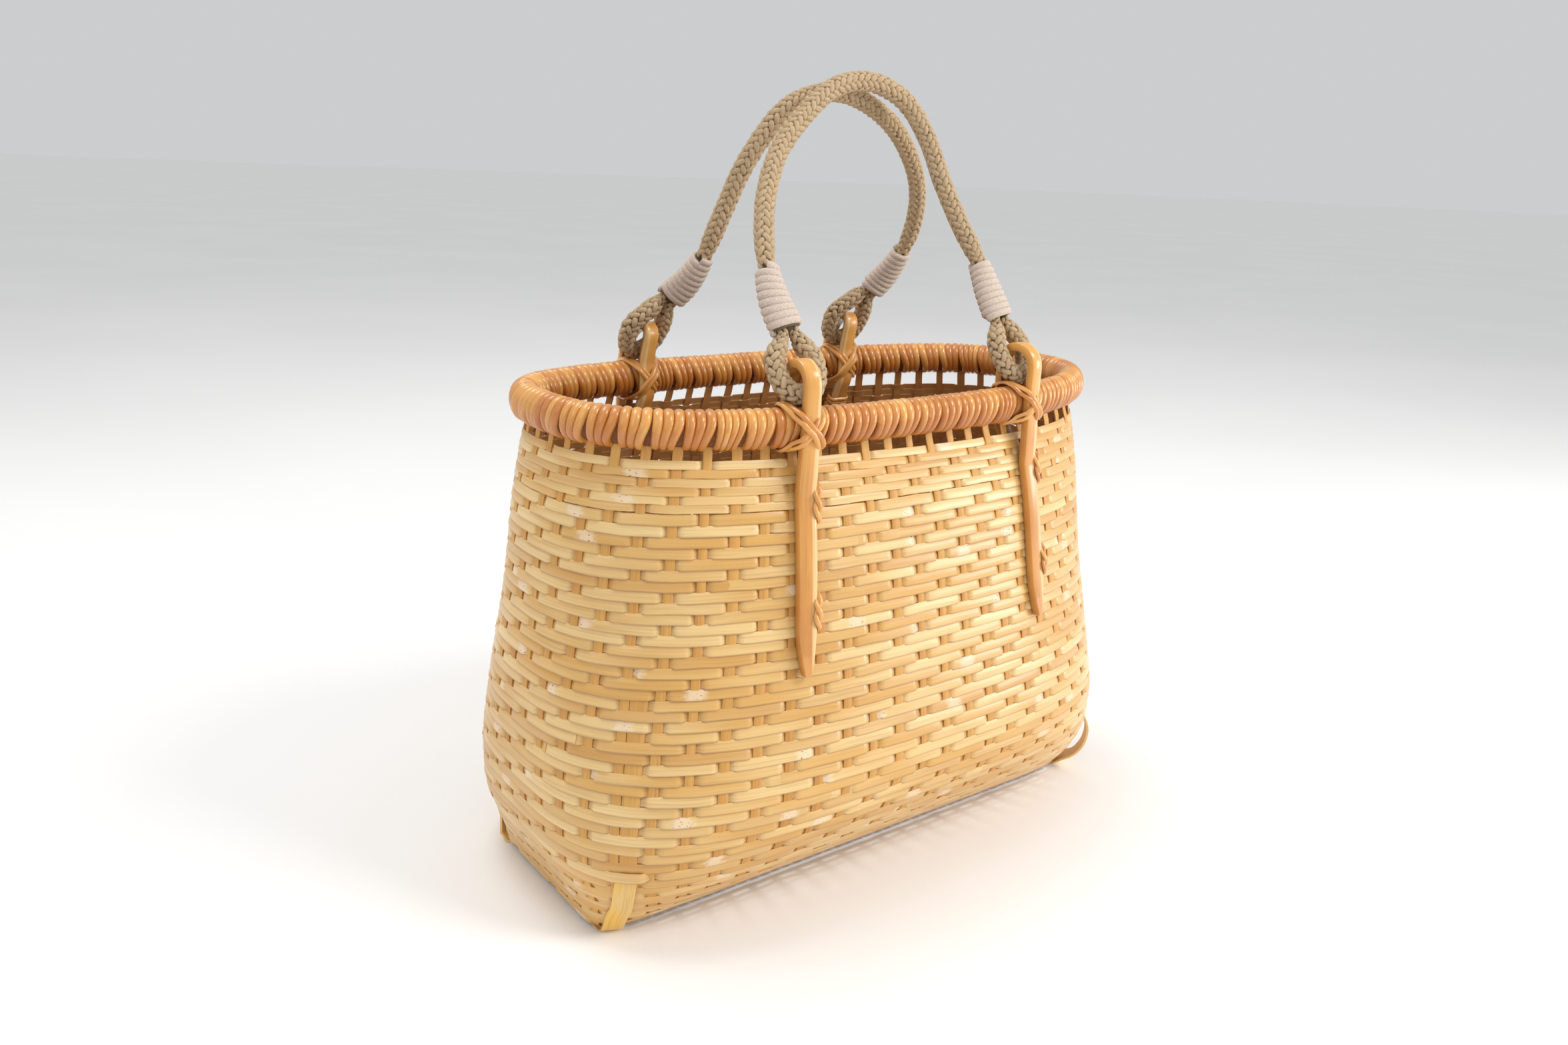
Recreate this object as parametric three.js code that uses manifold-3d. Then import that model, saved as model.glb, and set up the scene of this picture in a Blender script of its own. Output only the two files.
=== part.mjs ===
// A woven bamboo basket bag. A hollow woven body stands on two crossed base strips, a bound rim
// closes its mouth, four bent hooks are lashed over the rim, and two rope handles hang their
// eyes in the hooks. Sizes are in millimetres. +X runs along the basket, +Y to its back, +Z up,
// and the origin lies under the middle of the base, on the surface that the basket stands on.
import * as THREE from 'three';
import { mergeVertices } from 'three/addons/utils/BufferGeometryUtils.js';
import Module from 'manifold-3d';

const wasm = await Module();
wasm.setup();

// Basket
const BASKET_HEIGHT = 235;
const BASE_WIDTH = 308;
const BASE_DEPTH = 106;
const BELLY_WIDTH = 337.6;
const BELLY_DEPTH = 196;
const MOUTH_WIDTH = 300.5;
const MOUTH_DEPTH = 144;
const WALL = 2;
const BASE_DOME = 1.8;
const STAKES = 60;
const STAKE_WIDTH = 4.2;
const OPEN_ROW = 4.5;

// Rim, whose middle line runs over the mouth
const RIM_THICKNESS = 13.8;
const RIM_HEIGHT = 17.2;
const RIM_SADDLE = 2.4;
const RIM_SIDES = 8;

// Strips under the base, tucked into the wall at the corners
const STRIP_WIDTH = 9.5;
const STRIP_THICKNESS = 1.3;
const STRIP_RISE = 38;
const STRIP_BOW = 6;
const STRIP_FOLD = 12;

// Hooks
const HOOK_SPACING = 132;
const HOOK_SPLAY = 4.5;
const HOOK_WIDTH = 9.5;
const HOOK_THICKNESS = 3.8;
const HOOK_ARCH = 20.5;
const BACK_HOOK_LEAN = 10;
const OUTER_LEG = 113;
const INNER_LEG = 38;

// Cane lashings
const LASHING_WIDTH = 3.6;
const LASHING_THICKNESS = 1.2;
const LASHING_REACH = 10;
const LASHING_LEAN = 5;
const LASHING_SHIFT = 2;
const LASHING_STACK = 0.75;
const INNER_LASHING_HEIGHT = 10;

// Rope handles
const ROPE_DIAMETER = 9.5;
const HANDLE_RISE = 131;
const WHIPPING_LENGTH = 31;
const WHIPPING_FOOT = 16.4;
const WHIPPING_TOP = 10.8;
const WHIPPING_WALL = 1;

// Clearances
const GAP = 0.3;
const INSIDE_GAP = 0.8;
const CORNER_SLACK = 0.7;

const UP = new THREE.Vector3(0, 0, 1);
const BASE_LIFT = STRIP_THICKNESS + GAP;
const RIM_MIDDLE = BASKET_HEIGHT - RIM_HEIGHT / 2;
const WALL_TOP = BASKET_HEIGHT - RIM_HEIGHT - GAP;
const ROPE_RADIUS = ROPE_DIAMETER / 2;
const ARCH_WIDTH_SHARE = 0.8;
const SADDLE_POWER = 4;

// Wall sections. "rise" is the share of the wall's height and "square" the exponent of the
// superellipse. Below the belly, "wide" and "deep" run from the base (0) to the belly (1).
const LOWER_WALL = [
  { rise: 0, wide: 0, deep: 0, square: 13 },
  { rise: 0.03, wide: 0.12, deep: 0.18, square: 8 },
  { rise: 0.08, wide: 0.36, deep: 0.45, square: 5.6 },
  { rise: 0.16, wide: 0.8, deep: 0.76, square: 4 },
];

// From the belly up, "wide" and "deep" run from the belly (1) to the mouth (0).
const UPPER_WALL = [
  { rise: 0.28, wide: 1, deep: 1, square: 3.1 },
  { rise: 0.45, wide: 0.9, deep: 0.88, square: 2.75 },
  { rise: 0.65, wide: 0.57, deep: 0.64, square: 2.62 },
  { rise: 0.85, wide: 0.33, deep: 0.37, square: 2.6 },
  { rise: 0.94, wide: 0.14, deep: 0.16, square: 2.68 },
  { rise: 1, wide: 0, deep: 0, square: 2.74 },
];

const OUTSIDE_LEVELS = [0, 0.03, 0.08, 0.14, 0.21, 0.3, 0.42, 0.55, 0.68, 0.8, 0.9, 1];
const INSIDE_LEVELS = [1, 0.87, 0.6, 0.32, 0.13, 0.02];
const BASE_RINGS = [0.36, 0.7];

// Where a strip lies on the wall, as shares of half the outline's width on a long side and of
// half its depth on an end.
const STRIP_ON_SIDE = { foot: 0.95, top: 0.892 };
const STRIP_ON_END = { foot: 0.88, top: 0.7 };

// Width of a hook as a share of its full width, along the strip from the tip of its outer leg.
const HOOK_WIDTHS = [
  { along: 0, width: 0.4 },
  { along: 0.09, width: 1 },
  { along: 0.45, width: 0.97 },
  { along: 0.55, width: ARCH_WIDTH_SHARE },
  { along: 0.8, width: ARCH_WIDTH_SHARE },
  { along: 1, width: 0.9 },
];

// Handle routes from the left neck to the right one. "across" is a share of half the hook
// spacing, "lean" of the rim's distance from the middle plane, "rise" of the handle's rise.
const FRONT_ROUTE = [
  { across: -0.976, lean: 0.81, rise: 0.185 },
  { across: -1.01, lean: 0.7, rise: 0.285 },
  { across: -0.99, lean: 0.575, rise: 0.4 },
  { across: -0.874, lean: 0.39, rise: 0.582 },
  { across: -0.672, lean: 0.25, rise: 0.744 },
  { across: -0.423, lean: 0.165, rise: 0.86 },
  { across: -0.131, lean: 0.1, rise: 0.962 },
  { across: 0.114, lean: 0.085, rise: 1 },
  { across: 0.347, lean: 0.09, rise: 0.994 },
  { across: 0.574, lean: 0.125, rise: 0.936 },
  { across: 0.717, lean: 0.2, rise: 0.82 },
  { across: 0.783, lean: 0.315, rise: 0.67 },
  { across: 0.853, lean: 0.45, rise: 0.523 },
  { across: 0.924, lean: 0.575, rise: 0.404 },
  { across: 0.935, lean: 0.69, rise: 0.3 },
  { across: 0.959, lean: 0.81, rise: 0.188 },
];
const BACK_ROUTE = [
  { across: -0.86, lean: 0.775, rise: 0.205 },
  { across: -0.785, lean: 0.66, rise: 0.27 },
  { across: -0.73, lean: 0.52, rise: 0.368 },
  { across: -0.685, lean: 0.36, rise: 0.525 },
  { across: -0.61, lean: 0.227, rise: 0.689 },
  { across: -0.493, lean: 0.149, rise: 0.807 },
  { across: -0.35, lean: 0.1, rise: 0.896 },
  { across: -0.1, lean: 0.08, rise: 0.953 },
  { across: 0.1, lean: 0.078, rise: 0.964 },
  { across: 0.33, lean: 0.083, rise: 0.943 },
  { across: 0.656, lean: 0.113, rise: 0.866 },
  { across: 0.937, lean: 0.186, rise: 0.748 },
  { across: 1.105, lean: 0.267, rise: 0.635 },
  { across: 1.195, lean: 0.382, rise: 0.5 },
  { across: 1.2, lean: 0.484, rise: 0.396 },
  { across: 1.17, lean: 0.64, rise: 0.285 },
  { across: 1.1, lean: 0.745, rise: 0.215 },
];

// One side of a rope eye, as shares of its half width and of its height up to the neck.
// "follow" is how far the point follows the neck when it stands off to one side.
const EYE_LIMB = [
  { out: 0, up: 0, follow: 0 },
  { out: 0.72, up: 0.1, follow: 0 },
  { out: 1.02, up: 0.34, follow: 0 },
  { out: 1, up: 0.58, follow: 0.04 },
  { out: 0.6, up: 0.79, follow: 0.36 },
];

const profile = makeProfile();

function makeProfile() {
  const halfGap = WALL / 2;
  const mouth = [MOUTH_WIDTH / 2 + halfGap, MOUTH_DEPTH / 2 + halfGap];
  const belly = [BELLY_WIDTH / 2, BELLY_DEPTH / 2];
  const base = [BASE_WIDTH / 2, BASE_DEPTH / 2];
  const rises = [];
  const values = [];
  const add = (row, start) => {
    rises.push(row.rise);
    values.push(THREE.MathUtils.lerp(start[0], belly[0], row.wide));
    values.push(THREE.MathUtils.lerp(start[1], belly[1], row.deep));
    values.push(row.square);
  };
  LOWER_WALL.forEach((row) => add(row, base));
  UPPER_WALL.forEach((row) => add(row, mouth));
  return new THREE.CubicInterpolant(rises, values, 3);
}

// The wall's outline at a share of its height, drawn in by "inset" all round.
function outlineAt(rise, inset = 0) {
  const [wide, deep, square] = profile.evaluate(rise);
  return { wide: wide - inset, deep: deep - inset, square, rise };
}

function riseOf(height) {
  return (height - BASE_LIFT) / (WALL_TOP - BASE_LIFT);
}

// How far the rim's saddle lifts the wall or rim at a point of an outline.
function saddleAt(x, outline) {
  const share = x / outline.wide;
  return RIM_SADDLE * (share * share - 0.5) * outline.rise ** SADDLE_POWER;
}

function insideOutline(outline, x, y) {
  return Math.abs(x / outline.wide) ** outline.square + Math.abs(y / outline.deep) ** outline.square < 1;
}

// Points of an outline at even steps of length, one to a stake, starting half a step off +X.
function evenPoints(outline, count = STAKES) {
  const fine = [];
  const samples = 240;
  for (let i = 0; i <= samples; i++) {
    const turn = (i / samples) * 2 * Math.PI;
    const c = Math.cos(turn);
    const s = Math.sin(turn);
    fine.push(new THREE.Vector2(
      outline.wide * Math.sign(c) * Math.abs(c) ** (2 / outline.square),
      outline.deep * Math.sign(s) * Math.abs(s) ** (2 / outline.square),
    ));
  }
  const points = new THREE.Path(fine).getSpacedPoints(2 * count);
  return points.filter((_, i) => i % 2 === 1);
}

// Skins rows of points into one closed surface. A looped skin joins its last row to the first,
// and any other is closed by a fan over each end row.
function skin(rows, looped = false) {
  const columns = rows[0].length;
  const positions = rows.flat().flatMap((point) => [point.x, point.y, point.z]);
  const indices = [];
  const last = looped ? rows.length : rows.length - 1;
  for (let row = 0; row < last; row++) {
    const next = (row + 1) % rows.length;
    for (let column = 0; column < columns; column++) {
      const beside = (column + 1) % columns;
      const a = row * columns + column;
      const b = row * columns + beside;
      const c = next * columns + beside;
      const d = next * columns + column;
      indices.push(a, b, c, a, c, d);
    }
  }
  if (!looped) {
    closeEnd(rows[0], 0, true);
    closeEnd(rows[rows.length - 1], (rows.length - 1) * columns, false);
  }
  function closeEnd(row, first, reversed) {
    const middle = row.reduce((sum, point) => sum.add(point), new THREE.Vector3()).divideScalar(columns);
    const centre = positions.length / 3;
    positions.push(middle.x, middle.y, middle.z);
    for (let column = 0; column < columns; column++) {
      const a = first + column;
      const b = first + ((column + 1) % columns);
      indices.push(...(reversed ? [b, a, centre] : [a, b, centre]));
    }
  }
  const geometry = new THREE.BufferGeometry();
  geometry.setAttribute('position', new THREE.Float32BufferAttribute(positions, 3));
  geometry.setIndex(indices);
  return outward(geometry);
}

// Turns a closed surface so that its faces point out.
function outward(geometry) {
  const position = geometry.getAttribute('position');
  const index = geometry.getIndex();
  const [a, b, c] = [new THREE.Vector3(), new THREE.Vector3(), new THREE.Vector3()];
  let volume = 0;
  for (let i = 0; i < index.count; i += 3) {
    a.fromBufferAttribute(position, index.getX(i));
    b.fromBufferAttribute(position, index.getX(i + 1));
    c.fromBufferAttribute(position, index.getX(i + 2));
    volume += a.dot(b.cross(c));
  }
  if (volume < 0) {
    for (let i = 0; i < index.count; i += 3) {
      const kept = index.getX(i + 1);
      index.setX(i + 1, index.getX(i + 2));
      index.setX(i + 2, kept);
    }
  }
  return geometry;
}

// Sweeps a section along stations. Each station has a point, two axes and the section's corners.
function sweep(stations, looped = false) {
  const rows = stations.map(({ point, side, face, corners }) => corners.map(([s, f]) => (
    point.clone().addScaledVector(side, s).addScaledVector(face, f)
  )));
  return skin(rows, looped);
}

function roundSection(halfSide, halfFace, sides) {
  return Array.from({ length: sides }, (_, i) => {
    const turn = ((i + 0.5) / sides) * 2 * Math.PI;
    return [halfSide * Math.cos(turn), halfFace * Math.sin(turn)];
  });
}

function barSection(width, thickness) {
  const w = width / 2;
  const t = thickness / 2;
  return [[-w, -t], [w, -t], [w, t], [-w, t]];
}

// A split cane's section, flat on the inside and rounded on the outside.
function caneSection(width, thickness) {
  const w = width / 2;
  const t = thickness / 2;
  return [[-w, -t], [w, -t], [w, t * 0.25], [w * 0.5, t], [-w * 0.5, t], [-w, t * 0.25]];
}

function tangentAt(points, i) {
  const before = points[Math.max(i - 1, 0)];
  const after = points[Math.min(i + 1, points.length - 1)];
  return after.clone().sub(before).normalize();
}

function toSolid(geometry) {
  const bare = geometry.clone();
  bare.deleteAttribute('normal');
  bare.deleteAttribute('uv');
  const merged = mergeVertices(bare, 1e-3);
  return new wasm.Manifold(new wasm.Mesh({
    numProp: 3,
    vertProperties: new Float32Array(merged.getAttribute('position').array),
    triVerts: new Uint32Array(merged.getIndex().array),
  }));
}

function toGeometry(solid) {
  const mesh = solid.getMesh();
  const geometry = new THREE.BufferGeometry();
  geometry.setAttribute('position', new THREE.BufferAttribute(mesh.vertProperties, 3));
  geometry.setIndex(new THREE.BufferAttribute(mesh.triVerts, 1));
  return geometry;
}

function joined(geometries) {
  return toGeometry(geometries.map(toSolid).reduce((sum, solid) => sum.add(solid)));
}

function wallRow(rise, inset) {
  const outline = outlineAt(rise, inset);
  const height = BASE_LIFT + rise * (WALL_TOP - BASE_LIFT);
  return evenPoints(outline).map((p) => new THREE.Vector3(p.x, p.y, height + saddleAt(p.x, outline)));
}

// A ring of the domed base, as a share of the base outline.
function baseRow(share, inset, lift) {
  const outline = outlineAt(0, inset);
  const height = lift + BASE_DOME * (1 - share * share);
  return evenPoints(outline).map((p) => new THREE.Vector3(p.x * share, p.y * share, height));
}

function basketBody() {
  const rows = [
    ...BASE_RINGS.map((share) => baseRow(share, 0, BASE_LIFT)),
    ...OUTSIDE_LEVELS.map((rise) => wallRow(rise, 0)),
    ...INSIDE_LEVELS.map((rise) => wallRow(rise, WALL)),
    ...BASE_RINGS.toReversed().map((share) => baseRow(share, WALL, BASE_LIFT + WALL)),
  ];
  const shell = toSolid(skin(rows));
  return toGeometry(shell.subtract(openRow()).subtract(lashingSlots()));
}

// Gaps between the stakes in the open row under the rim.
function openRow() {
  const outline = outlineAt(1, WALL / 2);
  const stakes = evenPoints(outline);
  const cuts = stakes.map((stake, i) => {
    const next = stakes[(i + 1) % STAKES];
    const pitch = stake.distanceTo(next);
    const cut = new THREE.BoxGeometry(pitch - STAKE_WIDTH, 4 * WALL, 2 * OPEN_ROW);
    const middle = stake.clone().add(next).divideScalar(2);
    cut.rotateZ(Math.atan2(next.y - stake.y, next.x - stake.x));
    cut.translate(middle.x, middle.y, WALL_TOP + saddleAt(middle.x, outline));
    return toSolid(cut);
  });
  return cuts.reduce((sum, cut) => sum.add(cut));
}

function rim() {
  const line = outlineAt(1, WALL / 2);
  const outer = evenPoints(line);
  const corners = roundSection(RIM_THICKNESS / 2, RIM_HEIGHT / 2, RIM_SIDES);
  const stretch = 1 / Math.cos(Math.PI / RIM_SIDES);
  const stations = outer.map((p, i) => {
    const before = outer[(i + STAKES - 1) % STAKES];
    const after = outer[(i + 1) % STAKES];
    const along = new THREE.Vector3(after.x - before.x, after.y - before.y, 0).normalize();
    return {
      point: new THREE.Vector3(p.x, p.y, RIM_MIDDLE + saddleAt(p.x, line)),
      side: along.clone().cross(UP),
      face: UP,
      corners: corners.map(([s, f]) => [s * stretch, f]),
    };
  });
  return sweep(stations, true);
}

// The frame of a hook: the point of the rim's middle line that it straddles, the way out of
// the basket there, and the way along the rim.
function hookFrame(endwise, sidewise, lean) {
  const line = outlineAt(1, WALL / 2);
  const x = endwise * HOOK_SPACING / 2;
  const share = Math.abs(x / line.wide) ** line.square;
  const y = sidewise * line.deep * (1 - share) ** (1 / line.square);
  const slopeX = Math.sign(x) * Math.abs(x / line.wide) ** (line.square - 1) / line.wide;
  const slopeY = Math.sign(y) * Math.abs(y / line.deep) ** (line.square - 1) / line.deep;
  const out = new THREE.Vector3(slopeX, slopeY, 0).normalize();
  const along = UP.clone().cross(out);
  const saddle = saddleAt(x, line);
  const place = (alongBy, outBy, height) => new THREE.Vector3(x, y, height + saddle)
    .addScaledVector(along, alongBy)
    .addScaledVector(out, outBy);
  return { endwise, out, along, place, lean };
}

// A point of a hook above the rim, where the whole hook may lean into the basket.
function leaningPlace(frame, alongBy, outBy, height) {
  const share = (height - BASKET_HEIGHT) / HOOK_ARCH;
  return frame.place(alongBy, outBy - frame.lean * share * share, height);
}

// How far out from a hook's place the wall's outside lies at a height.
function wallReach(frame, alongBy, height) {
  const outline = outlineAt(riseOf(height));
  let near = -MOUTH_DEPTH / 2;
  let far = BELLY_DEPTH / 2;
  for (let step = 0; step < 40; step++) {
    const middle = (near + far) / 2;
    const point = frame.place(alongBy, middle, 0);
    if (insideOutline(outline, point.x, point.y)) near = middle;
    else far = middle;
  }
  return near;
}

const RIM_SIDE = RIM_THICKNESS / 2 + GAP + HOOK_THICKNESS / 2;
const ARCH_MIDDLE = BASKET_HEIGHT + HOOK_ARCH - HOOK_THICKNESS / 2 - RIM_SIDE;

function innerLegAt(frame, share) {
  const top = WALL_TOP;
  const foot = BASKET_HEIGHT - INNER_LEG;
  const height = THREE.MathUtils.lerp(top, foot, share);
  const wall = wallReach(frame, 0, foot) - WALL - INSIDE_GAP - HOOK_THICKNESS / 2;
  return frame.place(0, THREE.MathUtils.lerp(-RIM_SIDE, wall, share), height);
}

function hookPoints(frame) {
  const points = [];
  const foot = BASKET_HEIGHT - OUTER_LEG;
  const legSteps = 10;
  const splayWay = frame.endwise * Math.sign(frame.along.x);
  for (let i = 0; i <= legSteps; i++) {
    const share = i / legSteps;
    const height = THREE.MathUtils.lerp(foot, RIM_MIDDLE, share);
    const splay = splayWay * HOOK_SPLAY * (1 - share);
    const wall = height < WALL_TOP ? wallReach(frame, splay, height) + GAP + HOOK_THICKNESS / 2 : 0;
    points.push(frame.place(splay, Math.max(wall, RIM_SIDE), height));
  }
  points.push(frame.place(0, RIM_SIDE, BASKET_HEIGHT));
  const archSteps = 8;
  for (let i = 0; i <= archSteps; i++) {
    const turn = (i / archSteps) * Math.PI;
    points.push(leaningPlace(frame, 0, RIM_SIDE * Math.cos(turn), ARCH_MIDDLE + RIM_SIDE * Math.sin(turn)));
  }
  points.push(frame.place(0, -RIM_SIDE, BASKET_HEIGHT));
  points.push(frame.place(0, -RIM_SIDE, RIM_MIDDLE));
  for (const share of [0, 0.5, 1]) points.push(innerLegAt(frame, share));
  return points;
}

// Reads a column of a table that is laid out along a growing first column.
function readTable(table, key, value, at) {
  const next = Math.max(1, table.findIndex((row) => row[key] >= at));
  const low = table[next - 1];
  const high = table[next];
  const share = (at - low[key]) / (high[key] - low[key]);
  return THREE.MathUtils.lerp(low[value], high[value], THREE.MathUtils.clamp(share, 0, 1));
}

function hook(frame) {
  const points = hookPoints(frame);
  const lengths = [0];
  for (let i = 1; i < points.length; i++) {
    lengths.push(lengths[i - 1] + points[i].distanceTo(points[i - 1]));
  }
  const whole = lengths[lengths.length - 1];
  const stations = points.map((point, i) => {
    const width = HOOK_WIDTH * readTable(HOOK_WIDTHS, 'along', 'width', lengths[i] / whole);
    return {
      point,
      side: frame.along,
      face: frame.along.clone().cross(tangentAt(points, i)).normalize(),
      corners: caneSection(width, HOOK_THICKNESS),
    };
  });
  return sweep(stations);
}

// One closed turn of cane round the rim and both legs of a hook. "hand" sets which way it leans
// and "layer" how far outside the other turn it lies.
function lashingTurn(frame, hand, layer) {
  const steps = 16;
  const lift = layer * LASHING_THICKNESS * LASHING_STACK;
  const halfOut = RIM_SIDE + HOOK_THICKNESS / 2 + GAP + LASHING_THICKNESS / 2 + CORNER_SLACK + lift;
  const halfUp = RIM_HEIGHT / 2 + GAP + LASHING_THICKNESS / 2 + lift;
  const points = [];
  const faces = [];
  for (let i = 0; i < steps; i++) {
    const turn = ((i + 0.5) / steps) * 2 * Math.PI;
    const c = Math.cos(turn);
    const s = Math.sin(turn);
    const outShare = Math.sign(c) * Math.sqrt(Math.abs(c));
    const upShare = Math.sign(s) * Math.sqrt(Math.abs(s));
    const shift = LASHING_SHIFT + hand * LASHING_REACH * upShare - LASHING_LEAN * upShare * upShare;
    points.push(frame.place(shift, halfOut * outShare, RIM_MIDDLE + halfUp * upShare));
    faces.push(frame.out.clone().multiplyScalar(outShare ** 3 / halfOut)
      .addScaledVector(UP, upShare ** 3 / halfUp).normalize());
  }
  const stations = points.map((point, i) => {
    const before = points[(i + steps - 1) % steps];
    const after = points[(i + 1) % steps];
    const forward = after.clone().sub(before).normalize();
    const side = forward.clone().cross(faces[i]).normalize();
    const corners = barSection(LASHING_WIDTH, LASHING_THICKNESS);
    return { point, side, face: side.clone().cross(forward), corners };
  });
  return sweep(stations, true);
}

function rimLashing(frame) {
  return joined([lashingTurn(frame, 1, 0), lashingTurn(frame, -1, 1)]);
}

// Notches in the top of the wall for the turns of cane that pass under the rim.
function lashingSlots() {
  const feet = [-1, 1].map((hand) => LASHING_SHIFT + hand * LASHING_REACH - LASHING_LEAN);
  const depth = 2 * (GAP + LASHING_THICKNESS) + GAP;
  const cuts = HOOK_FRAMES.flatMap((frame) => feet.map((foot) => {
    const cut = new THREE.BoxGeometry(LASHING_WIDTH + 4 * GAP + HOOK_THICKNESS / 2, 6 * WALL, 2 * depth);
    cut.rotateZ(Math.atan2(frame.along.y, frame.along.x));
    const point = frame.place(foot, 0, WALL_TOP);
    cut.translate(point.x, point.y, point.z);
    return toSolid(cut);
  }));
  return cuts.reduce((sum, cut) => sum.add(cut));
}

// A band of cane over the inner leg of a hook, which ties it to the wall.
function innerLashing(frame) {
  const top = innerLegAt(frame, 0.4);
  const foot = innerLegAt(frame, 1);
  const down = foot.clone().sub(top).normalize();
  const inward = down.clone().cross(frame.along).normalize();
  if (inward.dot(frame.out) > 0) inward.negate();
  const middle = top.clone().lerp(foot, 0.5);
  const over = HOOK_THICKNESS / 2 + GAP + LASHING_THICKNESS / 2;
  const beside = HOOK_WIDTH / 2 + GAP + LASHING_THICKNESS / 2;
  const back = -HOOK_THICKNESS / 2;
  const bend = LASHING_THICKNESS;
  const route = [
    [-beside, back], [-beside, over - bend], [-beside + bend, over],
    [beside - bend, over], [beside, over - bend], [beside, back],
  ];
  const points = route.map(([s, f]) => (
    middle.clone().addScaledVector(frame.along, s).addScaledVector(inward, f)
  ));
  const stations = points.map((point, i) => ({
    point,
    side: down,
    face: down.clone().cross(tangentAt(points, i)).normalize(),
    corners: barSection(INNER_LASHING_HEIGHT, LASHING_THICKNESS),
  }));
  return sweep(stations);
}

// The middle line of a handle above its eyes, and the frames of the two hooks that hold it.
function handleLine(route, left, right) {
  const start = eyeFoot(left);
  const points = route.map((row) => new THREE.Vector3(
    row.across * HOOK_SPACING / 2,
    row.lean * start.y,
    start.z + row.rise * HANDLE_RISE,
  ));
  return { curve: new THREE.CatmullRomCurve3(points), left, right };
}

// The middle of a rope eye's lowest point, which rests on the rim under the hook.
function eyeFoot(frame) {
  return leaningPlace(frame, 0, 0, BASKET_HEIGHT + GAP + ROPE_RADIUS);
}

// A point of a handle and the axes across it, at a distance from one of its necks.
function handleStation(line, distance, fromRight = false) {
  const whole = line.curve.getLength();
  const at = THREE.MathUtils.clamp(distance / whole, 0, 1);
  const share = fromRight ? 1 - at : at;
  const forward = line.curve.getTangentAt(share);
  if (fromRight) forward.negate();
  const side = forward.clone().cross(new THREE.Vector3(0, 1, 0)).normalize();
  const face = side.clone().cross(forward);
  return { point: line.curve.getPointAt(share), forward, side, face };
}

const PACKED_RADIUS = WHIPPING_TOP / 2 - WHIPPING_WALL - GAP;

// The two limbs of an eye lie side by side at the neck, pressed into each other, and run on
// inside the whipping for the length of the tuck.
const LIMB_RADIUS = (WHIPPING_FOOT / 2 - WHIPPING_WALL - GAP) / 2 - GAP;
const LIMB_OFFSET = LIMB_RADIUS * 0.88;
const LIMB_TUCK = WHIPPING_LENGTH * 0.15;

// The rope is packed tight inside the whipping and swells to its full size above it.
function ropeRadius(distance) {
  return THREE.MathUtils.lerp(
    PACKED_RADIUS,
    ROPE_RADIUS,
    THREE.MathUtils.smoothstep(distance, WHIPPING_LENGTH, WHIPPING_LENGTH + ROPE_DIAMETER),
  );
}

function handleMain(line) {
  const whole = line.curve.getLength();
  const steps = 36;
  const start = GAP;
  const stations = Array.from({ length: steps + 1 }, (_, i) => {
    const distance = THREE.MathUtils.lerp(start, whole - start, i / steps);
    const station = handleStation(line, distance);
    const radius = ropeRadius(Math.min(distance, whole - distance));
    return { ...station, corners: roundSection(radius, radius, 8) };
  });
  return sweep(stations);
}

function ropeEye(line, frame, fromRight) {
  const foot = eyeFoot(frame);
  const neck = handleStation(line, 0, fromRight);
  const inside = handleStation(line, LIMB_TUCK, fromRight);
  const stand = neck.point.clone().sub(foot);
  const follow = stand.dot(frame.along);
  const rise = stand.addScaledVector(frame.along, -follow);
  const half = HOOK_WIDTH * ARCH_WIDTH_SHARE / 2 + 2 * GAP + ROPE_RADIUS;
  const handed = Math.sign(neck.side.dot(frame.along));
  const limb = (way) => {
    const rows = EYE_LIMB.map((row) => foot.clone()
      .addScaledVector(frame.along, way * half * row.out + follow * row.follow)
      .addScaledVector(rise, row.up));
    rows.push(neck.point.clone().addScaledVector(neck.side, way * handed * LIMB_OFFSET));
    rows.push(inside.point.clone().addScaledVector(inside.side, way * handed * LIMB_OFFSET));
    return rows;
  };
  const route = new THREE.CatmullRomCurve3([...limb(-1).toReversed(), ...limb(1).slice(1)]);
  const steps = 20;
  const points = route.getSpacedPoints(steps);
  const whole = route.getLength();
  const stations = points.map((point, i) => {
    const fromEnd = whole * Math.min(i, steps - i) / steps;
    const radius = THREE.MathUtils.lerp(
      LIMB_RADIUS,
      ROPE_RADIUS,
      THREE.MathUtils.smoothstep(fromEnd, LIMB_TUCK, LIMB_TUCK + ROPE_DIAMETER),
    );
    const forward = tangentAt(points, i);
    const side = forward.clone().cross(neck.face).normalize();
    return { point, side, face: side.clone().cross(forward), corners: roundSection(radius, radius, 8) };
  });
  return sweep(stations);
}

function handleRope(line) {
  return joined([handleMain(line), ropeEye(line, line.left, false), ropeEye(line, line.right, true)]);
}

// A sleeve of wound cord over the neck of an eye, wide where both limbs enter it.
function whipping(line, fromRight) {
  const steps = 6;
  const layer = (inset) => Array.from({ length: steps + 1 }, (_, i) => {
    const share = i / steps;
    const station = handleStation(line, share * WHIPPING_LENGTH, fromRight);
    const halfSide = THREE.MathUtils.lerp(WHIPPING_FOOT, WHIPPING_TOP, share) / 2;
    const halfFace = THREE.MathUtils.lerp(WHIPPING_TOP + 2 * GAP, WHIPPING_TOP, share) / 2;
    return { ...station, corners: roundSection(halfSide - inset, halfFace - inset, 8) };
  });
  return sweep([...layer(0), ...layer(WHIPPING_WALL).toReversed()], true);
}

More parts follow.
